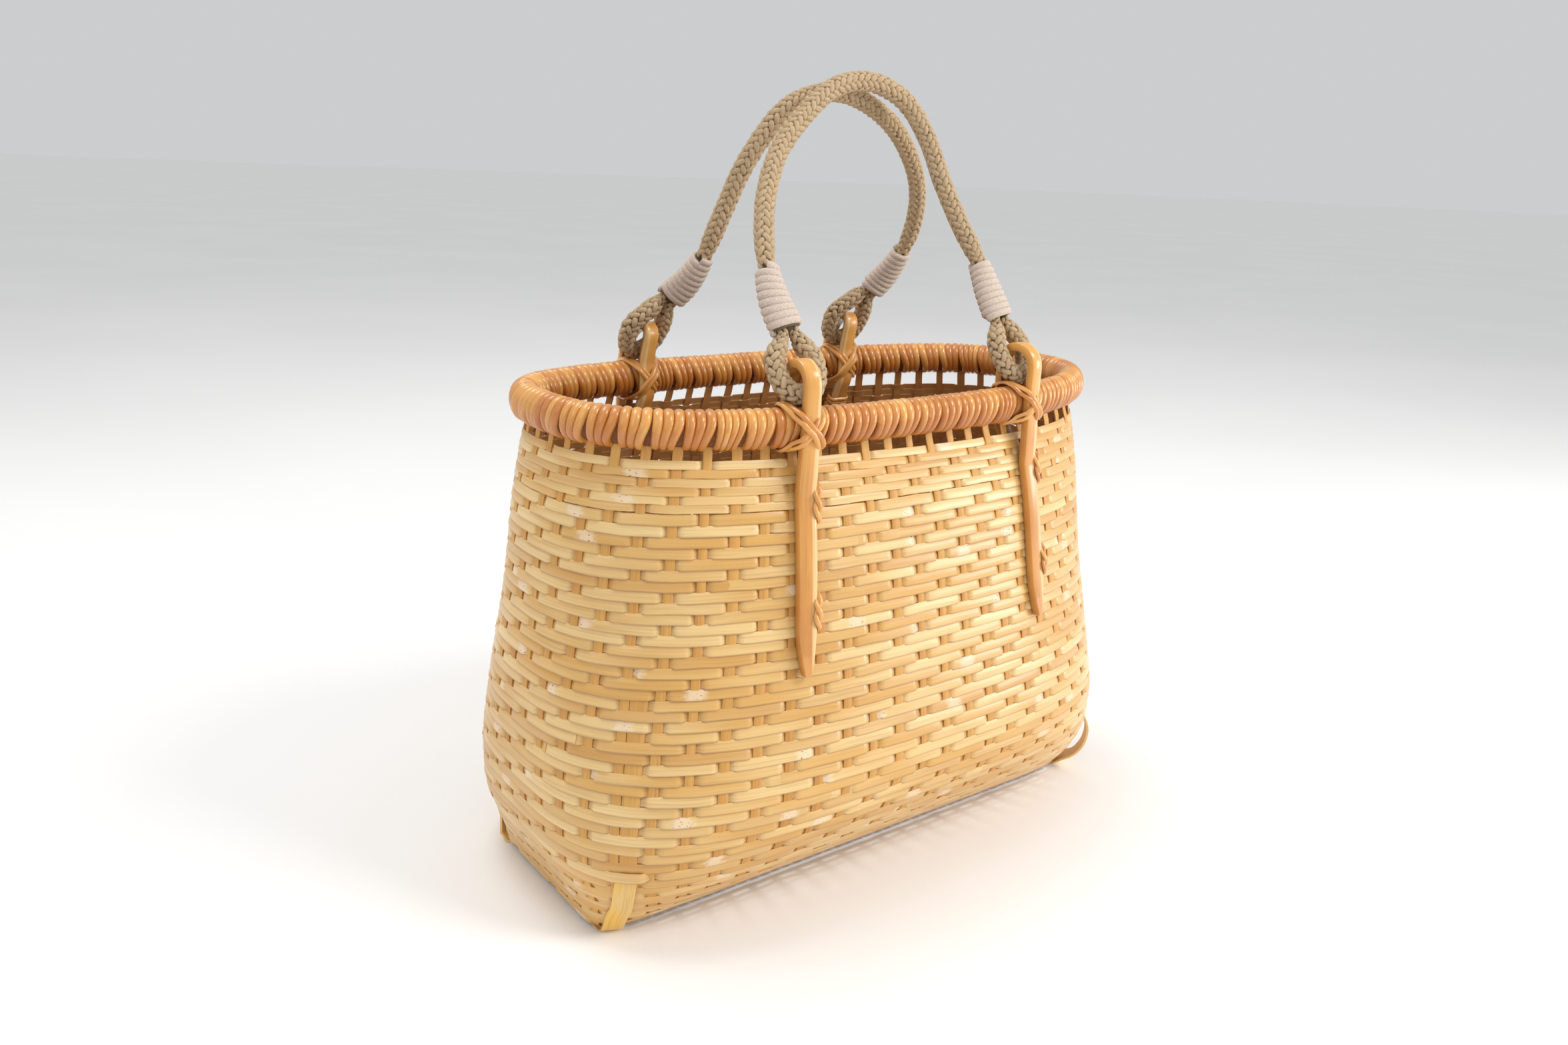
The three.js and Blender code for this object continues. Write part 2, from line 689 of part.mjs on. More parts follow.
// A point of the wall's outside and its outward direction. "share" runs along the outline from
// the middle of a side or of an end, and "on" names which of the two it is.
function wallSpot(on, share, height) {
  const at = (shareAt, heightAt) => {
    const outline = outlineAt(Math.max(riseOf(heightAt), 0));
    const rest = (1 - shareAt ** outline.square) ** (1 / outline.square);
    const [x, y] = on === 'side' ? [shareAt, rest] : [rest, shareAt];
    return new THREE.Vector3(x * outline.wide, y * outline.deep, heightAt);
  };
  const step = 0.01;
  const along = at(share + step, height).sub(at(share - step, height)).normalize();
  const up = at(share, height + 1).sub(at(share, height)).normalize();
  const out = along.clone().cross(up).normalize();
  const point = at(share, height);
  if (out.dot(point) < 0) out.negate();
  return { point, along, out };
}

// A strip under the base from one corner to the opposite one, climbing the wall at both. "on"
// names the walls that it climbs, "turn" mirrors it, "over" lifts its middle over the other
// strip, and "bows" hold how far each end stands off the wall.
function baseStrip(on, turn, over, bows) {
  const middle = STRIP_THICKNESS / 2;
  const places = on === 'side' ? STRIP_ON_SIDE : STRIP_ON_END;
  const foot = wallSpot(on, places.foot, BASE_LIFT);
  const inward = new THREE.Vector3(foot.out.x, foot.out.y, 0).normalize().negate();
  const wallSteps = 6;
  const climb = (bow) => Array.from({ length: wallSteps + 1 }, (_, i) => {
    const share = 1 - i / wallSteps;
    const height = THREE.MathUtils.lerp(BASE_LIFT + STRIP_THICKNESS, STRIP_RISE, share);
    const spot = wallSpot(on, THREE.MathUtils.lerp(places.foot, places.top, share), height);
    const off = GAP + middle + bow * Math.sin(Math.PI * share);
    return { point: spot.point.addScaledVector(spot.out, off), side: spot.along };
  });
  const fold = foot.point.clone().addScaledVector(inward, -middle).setZ(middle);
  const inner = fold.clone().addScaledVector(inward, STRIP_FOLD);
  const straight = new THREE.Vector3(inner.x, inner.y, 0).normalize();
  const flat = STRIP_WIDTH / Math.sin(2 * Math.atan2(inner.y, inner.x));
  const across = new THREE.Vector3(-straight.y, straight.x, 0);
  const half = (bow) => [
    ...climb(bow),
    { point: fold.clone(), side: foot.along },
    { point: inner.clone(), side: foot.along },
    { point: inner.clone().multiplyScalar(0.9).setZ(middle), side: across },
    { point: straight.clone().multiplyScalar(1.7 * flat).setZ(middle), side: across },
    { point: straight.clone().multiplyScalar(flat).setZ(middle + over), side: across },
  ];
  const turned = (rows, sign) => rows.map(({ point, side }) => ({
    point: new THREE.Vector3(sign * point.x, sign * turn * point.y, point.z),
    side: new THREE.Vector3(sign * side.x, sign * turn * side.y, side.z),
  }));
  const first = turned(half(bows[0]), 1);
  const second = turned(half(bows[1]), -1).toReversed();
  const rows = [...first, ...second.map(({ point, side }) => ({ point, side: side.negate() }))];
  const points = rows.map((row) => row.point);
  const aim = rows[0].side;
  const stations = rows.map(({ point, side }, i) => {
    const level = side.clone().setZ(0).normalize();
    if (i > 0 && level.dot(aim) < 0) level.negate();
    return {
      point,
      side: level,
      face: level.clone().cross(tangentAt(points, i)).normalize(),
      corners: barSection(STRIP_WIDTH, STRIP_THICKNESS),
    };
  });
  return sweep(stations);
}

const FINISH = {
  weave: { color: 0xebcb85, roughness: 0.55, metalness: 0 },
  strip: { color: 0xe3bc55, roughness: 0.5, metalness: 0 },
  rim: { color: 0xd98f45, roughness: 0.35, metalness: 0 },
  hook: { color: 0xd99a4e, roughness: 0.35, metalness: 0 },
  lashing: { color: 0xdca763, roughness: 0.4, metalness: 0 },
  rope: { color: 0xc9ae84, roughness: 0.9, metalness: 0 },
  cord: { color: 0xb8937f, roughness: 0.85, metalness: 0 },
};

const HOOK_PLACES = [
  { name: 'front_left', endwise: -1, sidewise: -1, lean: 0 },
  { name: 'front_right', endwise: 1, sidewise: -1, lean: 0 },
  { name: 'back_left', endwise: -1, sidewise: 1, lean: BACK_HOOK_LEAN },
  { name: 'back_right', endwise: 1, sidewise: 1, lean: BACK_HOOK_LEAN },
];
const HOOK_FRAMES = HOOK_PLACES.map(({ endwise, sidewise, lean }) => hookFrame(endwise, sidewise, lean));

const bag = new THREE.Group();

function place(name, geometry, finish) {
  const mesh = new THREE.Mesh(geometry, new THREE.MeshStandardMaterial(finish));
  mesh.name = name;
  bag.add(mesh);
}

place('basket_body', basketBody(), FINISH.weave);
place('base_strip_lower', baseStrip('side', 1, 0, [0, 0]), FINISH.strip);
place('base_strip_upper', baseStrip('end', -1, STRIP_THICKNESS + GAP, [STRIP_BOW, 0]), FINISH.strip);
place('rim', rim(), FINISH.rim);
HOOK_PLACES.forEach(({ name }, i) => {
  place(`hook_${name}`, hook(HOOK_FRAMES[i]), FINISH.hook);
  place(`rim_lashing_${name}`, rimLashing(HOOK_FRAMES[i]), FINISH.lashing);
  place(`inner_lashing_${name}`, innerLashing(HOOK_FRAMES[i]), FINISH.lashing);
});

const HANDLES = [
  { name: 'front', line: handleLine(FRONT_ROUTE, HOOK_FRAMES[0], HOOK_FRAMES[1]) },
  { name: 'back', line: handleLine(BACK_ROUTE, HOOK_FRAMES[2], HOOK_FRAMES[3]) },
];
HANDLES.forEach(({ name, line }) => {
  place(`handle_rope_${name}`, handleRope(line), FINISH.rope);
  place(`whipping_${name}_left`, whipping(line, false), FINISH.cord);
  place(`whipping_${name}_right`, whipping(line, true), FINISH.cord);
});

export default bag;
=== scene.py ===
import math
import random

import bmesh
import bpy
import numpy as np
from mathutils import Matrix, Vector


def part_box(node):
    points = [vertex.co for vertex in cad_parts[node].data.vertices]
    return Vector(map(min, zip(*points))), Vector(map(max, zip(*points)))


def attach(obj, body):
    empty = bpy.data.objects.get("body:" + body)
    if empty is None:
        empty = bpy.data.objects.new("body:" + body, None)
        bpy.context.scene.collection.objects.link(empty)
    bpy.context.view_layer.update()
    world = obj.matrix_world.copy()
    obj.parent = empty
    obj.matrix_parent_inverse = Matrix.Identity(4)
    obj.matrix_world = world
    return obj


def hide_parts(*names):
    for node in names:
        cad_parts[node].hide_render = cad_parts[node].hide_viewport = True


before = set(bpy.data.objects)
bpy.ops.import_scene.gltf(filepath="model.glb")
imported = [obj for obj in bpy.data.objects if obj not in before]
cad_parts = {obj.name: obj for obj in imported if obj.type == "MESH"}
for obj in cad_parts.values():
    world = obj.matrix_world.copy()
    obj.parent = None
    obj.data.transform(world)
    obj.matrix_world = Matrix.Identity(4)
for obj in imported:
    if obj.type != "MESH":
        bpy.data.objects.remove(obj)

bl_info = {
    "name": "Woven basket bag",
    "version": (1, 0, 0),
    "blender": (4, 5, 0),
    "location": "3D View > Sidebar > Basket",
    "description": "Weaves a bamboo basket bag with a wound rim, bent hooks and rope handles",
    "category": "Object",
}

MM = 0.001
UP = np.array([0.0, 0.0, 1.0])
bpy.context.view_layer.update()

# Sizes that follow from the frame, in metres. The wall's own table is the one that the body
# was made from: "rise" is the share of its height and "square" the superellipse's exponent.
BODY_LOW, BODY_HIGH = (np.array(corner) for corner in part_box("basket_body"))
RIM_LOW, RIM_HIGH = (np.array(corner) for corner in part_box("rim"))
BASE_LIFT = BODY_LOW[2]
RIM_SADDLE = 2.4 * MM
RIM_HALF_THICK = 6.9 * MM
RIM_HALF_HIGH = 8.6 * MM
RIM_TOP = 235 * MM
RIM_MIDDLE = RIM_TOP - RIM_HALF_HIGH
GAP = 0.3 * MM
WALL = 2 * MM
WALL_TOP = RIM_TOP - 2 * RIM_HALF_HIGH - GAP
STAKES = 60
BELLY = BODY_HIGH[:2]
BASE = np.array([154, 53]) * MM
MOUTH = (RIM_HIGH - RIM_LOW)[:2] / 2 - RIM_HALF_THICK + WALL / 2

WALL_TABLE = [
    {"rise": 0, "between": "base", "wide": 0, "deep": 0, "square": 13},
    {"rise": 0.03, "between": "base", "wide": 0.12, "deep": 0.18, "square": 8},
    {"rise": 0.08, "between": "base", "wide": 0.36, "deep": 0.45, "square": 5.6},
    {"rise": 0.16, "between": "base", "wide": 0.8, "deep": 0.76, "square": 4},
    {"rise": 0.28, "between": "mouth", "wide": 1, "deep": 1, "square": 3.1},
    {"rise": 0.45, "between": "mouth", "wide": 0.9, "deep": 0.88, "square": 2.75},
    {"rise": 0.65, "between": "mouth", "wide": 0.57, "deep": 0.64, "square": 2.62},
    {"rise": 0.85, "between": "mouth", "wide": 0.33, "deep": 0.37, "square": 2.6},
    {"rise": 0.94, "between": "mouth", "wide": 0.14, "deep": 0.16, "square": 2.68},
    {"rise": 1, "between": "mouth", "wide": 0, "deep": 0, "square": 2.74},
]

# The rows of weavers from the base up: how many lie in a band and how far apart they are.
ROW_BANDS = [
    {"rows": 8, "pitch": 2.75 * MM},
    {"rows": 2, "pitch": 3.6 * MM},
    {"rows": 36, "pitch": 4.48 * MM},
    {"rows": 6, "pitch": 3.4 * MM},
]
FIRST_ROW = BASE_LIFT + 1.6 * MM

# The hooks: the half spacing along the rim, the splay of the outer leg's tip, and the heights
# of the tip, of the arch and of the inner leg's end.
HOOK_HALF_SPACING = 66 * MM
HOOK_SPLAY = 4.5 * MM
HOOK_WIDTH = 9.5 * MM
HOOK_THICKNESS = 3.8 * MM
HOOK_ARCH = 20.5 * MM
OUTER_LEG = 113 * MM
INNER_LEG = 38 * MM
ARCH_SHARE = 0.8
BACK_LEAN = 10 * MM
INSIDE_GAP = 0.8 * MM
RIM_SIDE = RIM_HALF_THICK + GAP + HOOK_THICKNESS / 2
HOOKS = [
    {"name": "front_left", "end": -1, "side": -1, "lean": 0},
    {"name": "front_right", "end": 1, "side": -1, "lean": 0},
    {"name": "back_left", "end": -1, "side": 1, "lean": BACK_LEAN},
    {"name": "back_right", "end": 1, "side": 1, "lean": BACK_LEAN},
]

# Cane turned round the rim over each hook.
LASHING_THICKNESS = 1.2 * MM
LASHING_REACH = 7.2 * MM
LASHING_LEAN = 1 * MM
LASHING_SHIFT = -0.5 * MM

# The rope handles and the whippings of their eyes.
ROPE_RADIUS = 4.75 * MM
HANDLE_RISE = 131 * MM
WHIPPING_LENGTH = 31 * MM
WHIPPING_FOOT = 16.4 * MM
WHIPPING_TOP = 10.8 * MM

# Handle routes from the left neck to the right one. "across" is a share of the hooks' half
# spacing, "lean" of the rim's distance from the middle plane, "rise" of the handle's rise.
FRONT_ROUTE = [
    {"across": -0.976, "lean": 0.81, "rise": 0.185},
    {"across": -1.01, "lean": 0.7, "rise": 0.285},
    {"across": -0.99, "lean": 0.575, "rise": 0.4},
    {"across": -0.874, "lean": 0.39, "rise": 0.582},
    {"across": -0.672, "lean": 0.25, "rise": 0.744},
    {"across": -0.423, "lean": 0.165, "rise": 0.86},
    {"across": -0.131, "lean": 0.1, "rise": 0.962},
    {"across": 0.114, "lean": 0.085, "rise": 1},
    {"across": 0.347, "lean": 0.09, "rise": 0.994},
    {"across": 0.574, "lean": 0.125, "rise": 0.936},
    {"across": 0.717, "lean": 0.2, "rise": 0.82},
    {"across": 0.783, "lean": 0.315, "rise": 0.67},
    {"across": 0.853, "lean": 0.45, "rise": 0.523},
    {"across": 0.924, "lean": 0.575, "rise": 0.404},
    {"across": 0.935, "lean": 0.69, "rise": 0.3},
    {"across": 0.959, "lean": 0.81, "rise": 0.188},
]
BACK_ROUTE = [
    {"across": -0.86, "lean": 0.775, "rise": 0.205},
    {"across": -0.785, "lean": 0.66, "rise": 0.27},
    {"across": -0.73, "lean": 0.52, "rise": 0.368},
    {"across": -0.685, "lean": 0.36, "rise": 0.525},
    {"across": -0.61, "lean": 0.227, "rise": 0.689},
    {"across": -0.493, "lean": 0.149, "rise": 0.807},
    {"across": -0.35, "lean": 0.1, "rise": 0.896},
    {"across": -0.1, "lean": 0.08, "rise": 0.953},
    {"across": 0.1, "lean": 0.078, "rise": 0.964},
    {"across": 0.33, "lean": 0.083, "rise": 0.943},
    {"across": 0.656, "lean": 0.113, "rise": 0.866},
    {"across": 0.937, "lean": 0.186, "rise": 0.748},
    {"across": 1.105, "lean": 0.267, "rise": 0.635},
    {"across": 1.195, "lean": 0.382, "rise": 0.5},
    {"across": 1.2, "lean": 0.484, "rise": 0.396},
    {"across": 1.17, "lean": 0.64, "rise": 0.285},
    {"across": 1.1, "lean": 0.745, "rise": 0.215},
]
EYE_LIMB = [
    {"out": 0, "up": 0, "follow": 0},
    {"out": 0.72, "up": 0.1, "follow": 0},
    {"out": 1.02, "up": 0.34, "follow": 0},
    {"out": 1, "up": 0.58, "follow": 0.04},
    {"out": 0.6, "up": 0.79, "follow": 0.36},
]

# The photographed view, in metres and degrees.
VIEW = {"place": (-0.3736, -0.4636, 0.3284), "yaw": 37.34, "pitch": 16.17, "roll": 2.26, "span": 66.03}


def read_table(xs, ys, at):
    """A smooth curve through a short table, whose slope at a row is the mean of its neighbours'."""
    xs, ys = np.asarray(xs, float), np.asarray(ys, float)
    steps = np.diff(xs)
    slopes = np.diff(ys) / steps
    ways = np.concatenate([slopes[:1], (slopes[1:] + slopes[:-1]) / 2, slopes[-1:]])
    at = np.clip(at, xs[0], xs[-1])
    k = np.clip(np.searchsorted(xs, at) - 1, 0, len(steps) - 1)
    t = (at - xs[k]) / steps[k]
    low = ys[k] * (1 + 2 * t) * (1 - t) ** 2 + ways[k] * steps[k] * t * (1 - t) ** 2
    high = ys[k + 1] * t * t * (3 - 2 * t) + ways[k + 1] * steps[k] * t * t * (t - 1)
    return low + high


class Wall:
    """The basket's outside, read at a share of the way round and a height."""

    HEIGHTS = 240
    AROUND = 1440

    # How far to each side, and above and below, the wall is read for its slopes.
    ASIDE = 0.002
    ABOVE = 1.5 * MM

    def __init__(self):
        ends = {"base": BASE, "mouth": MOUTH}
        rises = [row["rise"] for row in WALL_TABLE]
        wide = [ends[row["between"]][0] * (1 - row["wide"]) + BELLY[0] * row["wide"] for row in WALL_TABLE]
        deep = [ends[row["between"]][1] * (1 - row["deep"]) + BELLY[1] * row["deep"] for row in WALL_TABLE]
        square = [row["square"] for row in WALL_TABLE]
        self.table = rises, wide, deep, square
        self.low, self.high = BASE_LIFT, WALL_TOP + 2 * RIM_HALF_HIGH
        self.levels = np.linspace(self.low, self.high, self.HEIGHTS)
        self.grid = np.array([self.ring(height) for height in self.levels])
        steps = np.linalg.norm(np.diff(self.grid, axis=1, append=self.grid[:, :1]), axis=2)
        self.lengths = steps.sum(axis=1)

    def outline(self, height):
        rise = np.clip((height - BASE_LIFT) / (WALL_TOP - BASE_LIFT), 0, 1)
        rises, wide, deep, square = self.table
        return [read_table(rises, values, rise) for values in (wide, deep, square)] + [rise]

    def ring(self, height):
        wide, deep, square, rise = self.outline(height)
        turn = np.linspace(0, 2 * math.pi, 3601)
        c, s = np.cos(turn), np.sin(turn)
        x = wide * np.sign(c) * np.abs(c) ** (2 / square)
        y = deep * np.sign(s) * np.abs(s) ** (2 / square)
        along = np.concatenate([[0], np.cumsum(np.hypot(np.diff(x), np.diff(y)))])
        even = np.linspace(0, along[-1], self.AROUND + 1)[:-1]
        x, y = np.interp(even, along, x), np.interp(even, along, y)
        z = height + RIM_SADDLE * ((x / wide) ** 2 - 0.5) * rise ** 4
        return np.stack([x, y, z], axis=1)

    def at(self, share, height):
        share, height = np.broadcast_arrays(np.asarray(share, float), np.asarray(height, float))
        row = np.clip((height - self.low) / (self.high - self.low), 0, 1) * (self.HEIGHTS - 1)
        i = np.minimum(row.astype(int), self.HEIGHTS - 2)
        column = (share % 1) * self.AROUND
        j = column.astype(int) % self.AROUND
        a, b = (row - i)[..., None], (column - np.floor(column))[..., None]
        k = (j + 1) % self.AROUND
        low = self.grid[i, j] * (1 - b) + self.grid[i, k] * b
        high = self.grid[i + 1, j] * (1 - b) + self.grid[i + 1, k] * b
        return low * (1 - a) + high * a

    def frame(self, share, height):
        """The point, the way round, the way up the wall and the way out."""
        share, height = np.asarray(share, float), np.asarray(height, float)
        around = unit(self.at(share + self.ASIDE, height) - self.at(share - self.ASIDE, height))
        rise = unit(self.at(share, height + self.ABOVE) - self.at(share, height - self.ABOVE))
        return self.at(share, height), around, rise, unit(np.cross(around, rise))

    def length(self, height):
        return float(np.interp(height, self.levels, self.lengths))

    def share_of(self, x, y, height):
        """The share of the way round that lies nearest to a point."""
        ring = self.ring(height)
        return float(np.argmin(np.hypot(ring[:, 0] - x, ring[:, 1] - y))) / self.AROUND


def unit(vectors):
    return vectors / np.linalg.norm(vectors, axis=-1, keepdims=True)


def smooth(low, high, value):
    t = np.clip((value - low) / (high - low), 0, 1)
    return t * t * (3 - 2 * t)


def waves(rng, share, cycles, size):
    """A gentle wander that closes on itself after one way round."""
    total = np.zeros_like(np.asarray(share, float))
    for cycle in cycles:
        total += rng.uniform(-1, 1) * np.sin(2 * math.pi * cycle * share + rng.uniform(0, 2 * math.pi))
    return total * size / math.sqrt(len(cycles))


def tangents(points, closed=False):
    if closed:
        return unit(np.roll(points, -1, axis=0) - np.roll(points, 1, axis=0))
    return unit(np.gradient(points, axis=0))



def spline(points, count):
    """A centripetal Catmull-Rom curve through the points, read at even steps of its length."""
    points = np.asarray(points, float)
    fine = []
    padded = np.vstack([2 * points[0] - points[1], points, 2 * points[-1] - points[-2]])
    for i in range(len(points) - 1):
        p0, p1, p2, p3 = padded[i:i + 4]
        t0, t1 = 0, np.linalg.norm(p1 - p0) ** 0.5
        t2 = t1 + np.linalg.norm(p2 - p1) ** 0.5
        t3 = t2 + np.linalg.norm(p3 - p2) ** 0.5
        t = np.linspace(t1, t2, 40)[:, None]
        a1 = (t1 - t) / (t1 - t0) * p0 + (t - t0) / (t1 - t0) * p1
        a2 = (t2 - t) / (t2 - t1) * p1 + (t - t1) / (t2 - t1) * p2
        a3 = (t3 - t) / (t3 - t2) * p2 + (t - t2) / (t3 - t2) * p3
        b1 = (t2 - t) / (t2 - t0) * a1 + (t - t0) / (t2 - t0) * a2
        b2 = (t3 - t) / (t3 - t1) * a2 + (t - t1) / (t3 - t1) * a3
        fine.append((t2 - t) / (t2 - t1) * b1 + (t - t1) / (t2 - t1) * b2)
    return even_steps(np.vstack(fine), count)


def even_steps(fine, count):
    along = np.concatenate([[0], np.cumsum(np.linalg.norm(np.diff(fine, axis=0), axis=1))])
    even = np.linspace(0, along[-1], count)
    return np.stack([np.interp(even, along, fine[:, axis]) for axis in range(3)], axis=1)



class Route:
    """A route with the axes across it. Its points, sides and faces have a row for each step."""

    def __init__(self, points, sides, faces, closed=False):
        self.points, self.sides, self.faces, self.closed = points, sides, faces, closed

    @classmethod
    def facing(cls, points, faces, closed=False):
        """A route whose section looks as nearly as it can the way that "faces" gives."""
        forward = tangents(points, closed)
        sides = unit(np.cross(forward, faces))
        return cls(points, sides, np.cross(sides, forward), closed)

    @classmethod
    def lying(cls, points, sides):
        """A route whose section lies flat along "sides"."""
        forward = tangents(points)
        faces = unit(np.cross(sides, forward))
        return cls(points, np.cross(forward, faces), faces)

    def part(self, first, last):
        """The stretch from one step to another, also across the join of a closed route."""
        steps = np.arange(first, last) % len(self.points)
        return Route(self.points[steps], self.sides[steps], self.faces[steps])

    def lifted(self, height):
        """The same route moved out by a height, which may differ from step to step."""
        points = self.points + self.faces * np.reshape(height, (-1, 1))
        return Route(points, self.sides, self.faces, self.closed)

    def twisted(self, angle):
        """The same route with its section turned about the way that it runs."""
        c, s = np.reshape(np.cos(angle), (-1, 1)), np.reshape(np.sin(angle), (-1, 1))
        sides = self.sides * c + self.faces * s
        return Route(self.points, sides, self.faces * c - self.sides * s, self.closed)


def split_section(width, thickness, crown=0.12):
    """A split cane: a flat back and a gently crowned skin with rounded edges."""
    w, t = width / 2, thickness / 2
    edge = min(w * 0.22, thickness * 0.34)
    skin = [[w, t * 0.6], [w - edge, t], [0, t * (1 + crown)], [edge - w, t], [-w, t * 0.6]]
    return np.array([[-w, -t], [w, -t], *skin])


def domed_section(width, thickness):
    """A cane with a flat back on the route and a domed skin."""
    turns = np.linspace(0, math.pi, 7)
    return np.stack([width / 2 * np.cos(turns), thickness * np.sin(turns) ** 0.85], axis=1)


def round_section(half_side, half_face, sides):
    turns = 2 * math.pi * (np.arange(sides) + 0.5) / sides
    return np.stack([half_side * np.cos(turns), half_face * np.sin(turns)], axis=1)

def tapered(section, width, thickness=1):
    """A section for each step of a route, scaled in width and in thickness."""
    scale = np.stack(np.broadcast_arrays(width, thickness), axis=1)
    return section[None] * scale[:, None]


class Piece:
    """A mesh in the making, built up from sleeves and grains, and the marks on its points."""

    # The dip mark also carries painted light and shade: the weavers' dives under stakes, the lower side of
    # each rim turn, the top of each hook's arch and the dark core of each whipping.
    MARKS = ("tone", "dip", "back")
    BATCH = 1500

    def __init__(self, name):
        self.name = name
        self.batches = []
        self.start()

    def start(self):
        self.bm = bmesh.new()
        self.uv = self.bm.loops.layers.uv.new("UVMap")
        self.layers = {mark: self.bm.verts.layers.float.new(mark) for mark in self.MARKS}

    def store(self, least=0):
        """Puts the work so far aside, because operators slow down as a mesh grows."""
        if len(self.bm.verts) <= least:
            return
        bmesh.ops.recalc_face_normals(self.bm, faces=self.bm.faces[:])
        mesh = bpy.data.meshes.new(self.name + " batch")
        self.bm.to_mesh(mesh)
        self.bm.free()
        self.batches.append(mesh)
        self.start()

    def sleeve(self, route, section, marks=None):
        """A flat grid wrapped round a route as a closed sleeve with the section's corners."""
        section = np.asarray(section, float)
        steps, corners = len(route.points), section.shape[-2]
        columns = steps if route.closed else steps - 1
        verts = bmesh.ops.create_grid(self.bm, x_segments=columns, y_segments=corners, size=0.5)["verts"]
        flat = np.array([(vert.co.x, vert.co.y) for vert in verts]) + 0.5
        i = np.rint(flat[:, 0] * columns).astype(int)
        j = np.rint(flat[:, 1] * corners).astype(int)
        step, corner = i % steps, j % corners
        offsets = section[step, corner] if section.ndim == 3 else section[corner]
        places = route.points[step] + route.sides[step] * offsets[:, :1]
        places = places + route.faces[step] * offsets[:, 1:]
        run = np.concatenate([[0], np.cumsum(np.linalg.norm(np.diff(route.points, axis=0), axis=1))])
        run = np.append(run, run[-1] + np.linalg.norm(route.points[0] - route.points[-1]))
        middle = (section[..., 1].min() + section[..., 1].max()) / 2
        values = {"back": (offsets[:, 1] < middle).astype(float)}
        for mark, value in (marks or {}).items():
            value = np.asarray(value, float)
            values[mark] = value[step] if value.ndim else np.full(len(verts), float(value))
        for index, (vert, place) in enumerate(zip(verts, places)):
            vert.co = place
            vert.index = index
        for mark, value in values.items():
            layer = self.layers[mark]
            for vert, number in zip(verts, value):
                vert[layer] = number
        faces = {face for vert in verts for face in vert.link_faces}
        across = offsets[:, 0]
        for face in faces:
            for loop in face.loops:
                k = loop.vert.index
                loop[self.uv].uv = (run[i[k]], across[k])
        self.close(verts, route.closed)
        self.store(self.BATCH)

    def close(self, verts, closed):
        bmesh.ops.remove_doubles(self.bm, verts=verts, dist=1e-7)
        if not closed:
            left = [vert for vert in verts if vert.is_valid]
            edges = {edge for vert in left for edge in vert.link_edges if edge.is_boundary}
            bmesh.ops.holes_fill(self.bm, edges=list(edges), sides=0)

    def grain(self, place, along, across, out, tone):
        """A small closed grain whose three half axes are given as vectors."""
        matrix = Matrix(np.vstack([np.column_stack([across, out, along, place]), [0, 0, 0, 1]]))
        made = bmesh.ops.create_uvsphere(self.bm, u_segments=8, v_segments=4, radius=1, matrix=matrix)
        way, width, middle = Vector(unit(along)), Vector(unit(across)), Vector(place)
        for vert in made["verts"]:
            vert[self.layers["tone"]] = tone
            for loop in vert.link_loops:
                loop[self.uv].uv = ((vert.co - middle).dot(way), (vert.co - middle).dot(width))
        self.store(self.BATCH)

    def finish(self, material, slot, nodes=(), sharp=50):
        """The finished object, riding on the bag and standing for its CAD nodes."""
        self.store()
        for batch in self.batches:
            self.bm.from_mesh(batch)
            bpy.data.meshes.remove(batch)
        mesh = bpy.data.meshes.new(self.name)
        self.bm.to_mesh(mesh)
        self.bm.free()
        for polygon in mesh.polygons:
            polygon.use_smooth = True
        mesh.set_sharp_from_angle(angle=math.radians(sharp))
        piece = bpy.data.objects.new(self.name, mesh)
        bpy.context.collection.objects.link(piece)
        mesh.materials.append(material)
        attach(piece, "root")
        if nodes:
            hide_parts(*nodes)
        return piece



class Value:
    """A shader socket that Python's operators work on."""

    def __init__(self, finish, socket):
        self.finish, self.socket = finish, socket

    def math(self, operation, *values):
        made = self.finish.node("ShaderNodeMath", {"operation": operation}, *values)
        return Value(self.finish, made.outputs[0])

    def __add__(self, other):
        return self.math("ADD", self, other)

    __radd__ = __add__

    def __sub__(self, other):
        return self.math("SUBTRACT", self, other)

    def __rsub__(self, other):
        return self.math("SUBTRACT", other, self)

    def __mul__(self, other):
        return self.math("MULTIPLY", self, other)

    __rmul__ = __mul__

    def ramp(self, low, high):
        """0 at low and 1 at high, eased between them."""
        settings = {"interpolation_type": "SMOOTHSTEP"}
        made = self.finish.node("ShaderNodeMapRange", settings, self, low, high, 0.0, 1.0)
        return Value(self.finish, made.outputs[0])

    def absolute(self):
        return self.math("ABSOLUTE", self)

    def fraction(self):
        return self.math("FRACT", self)


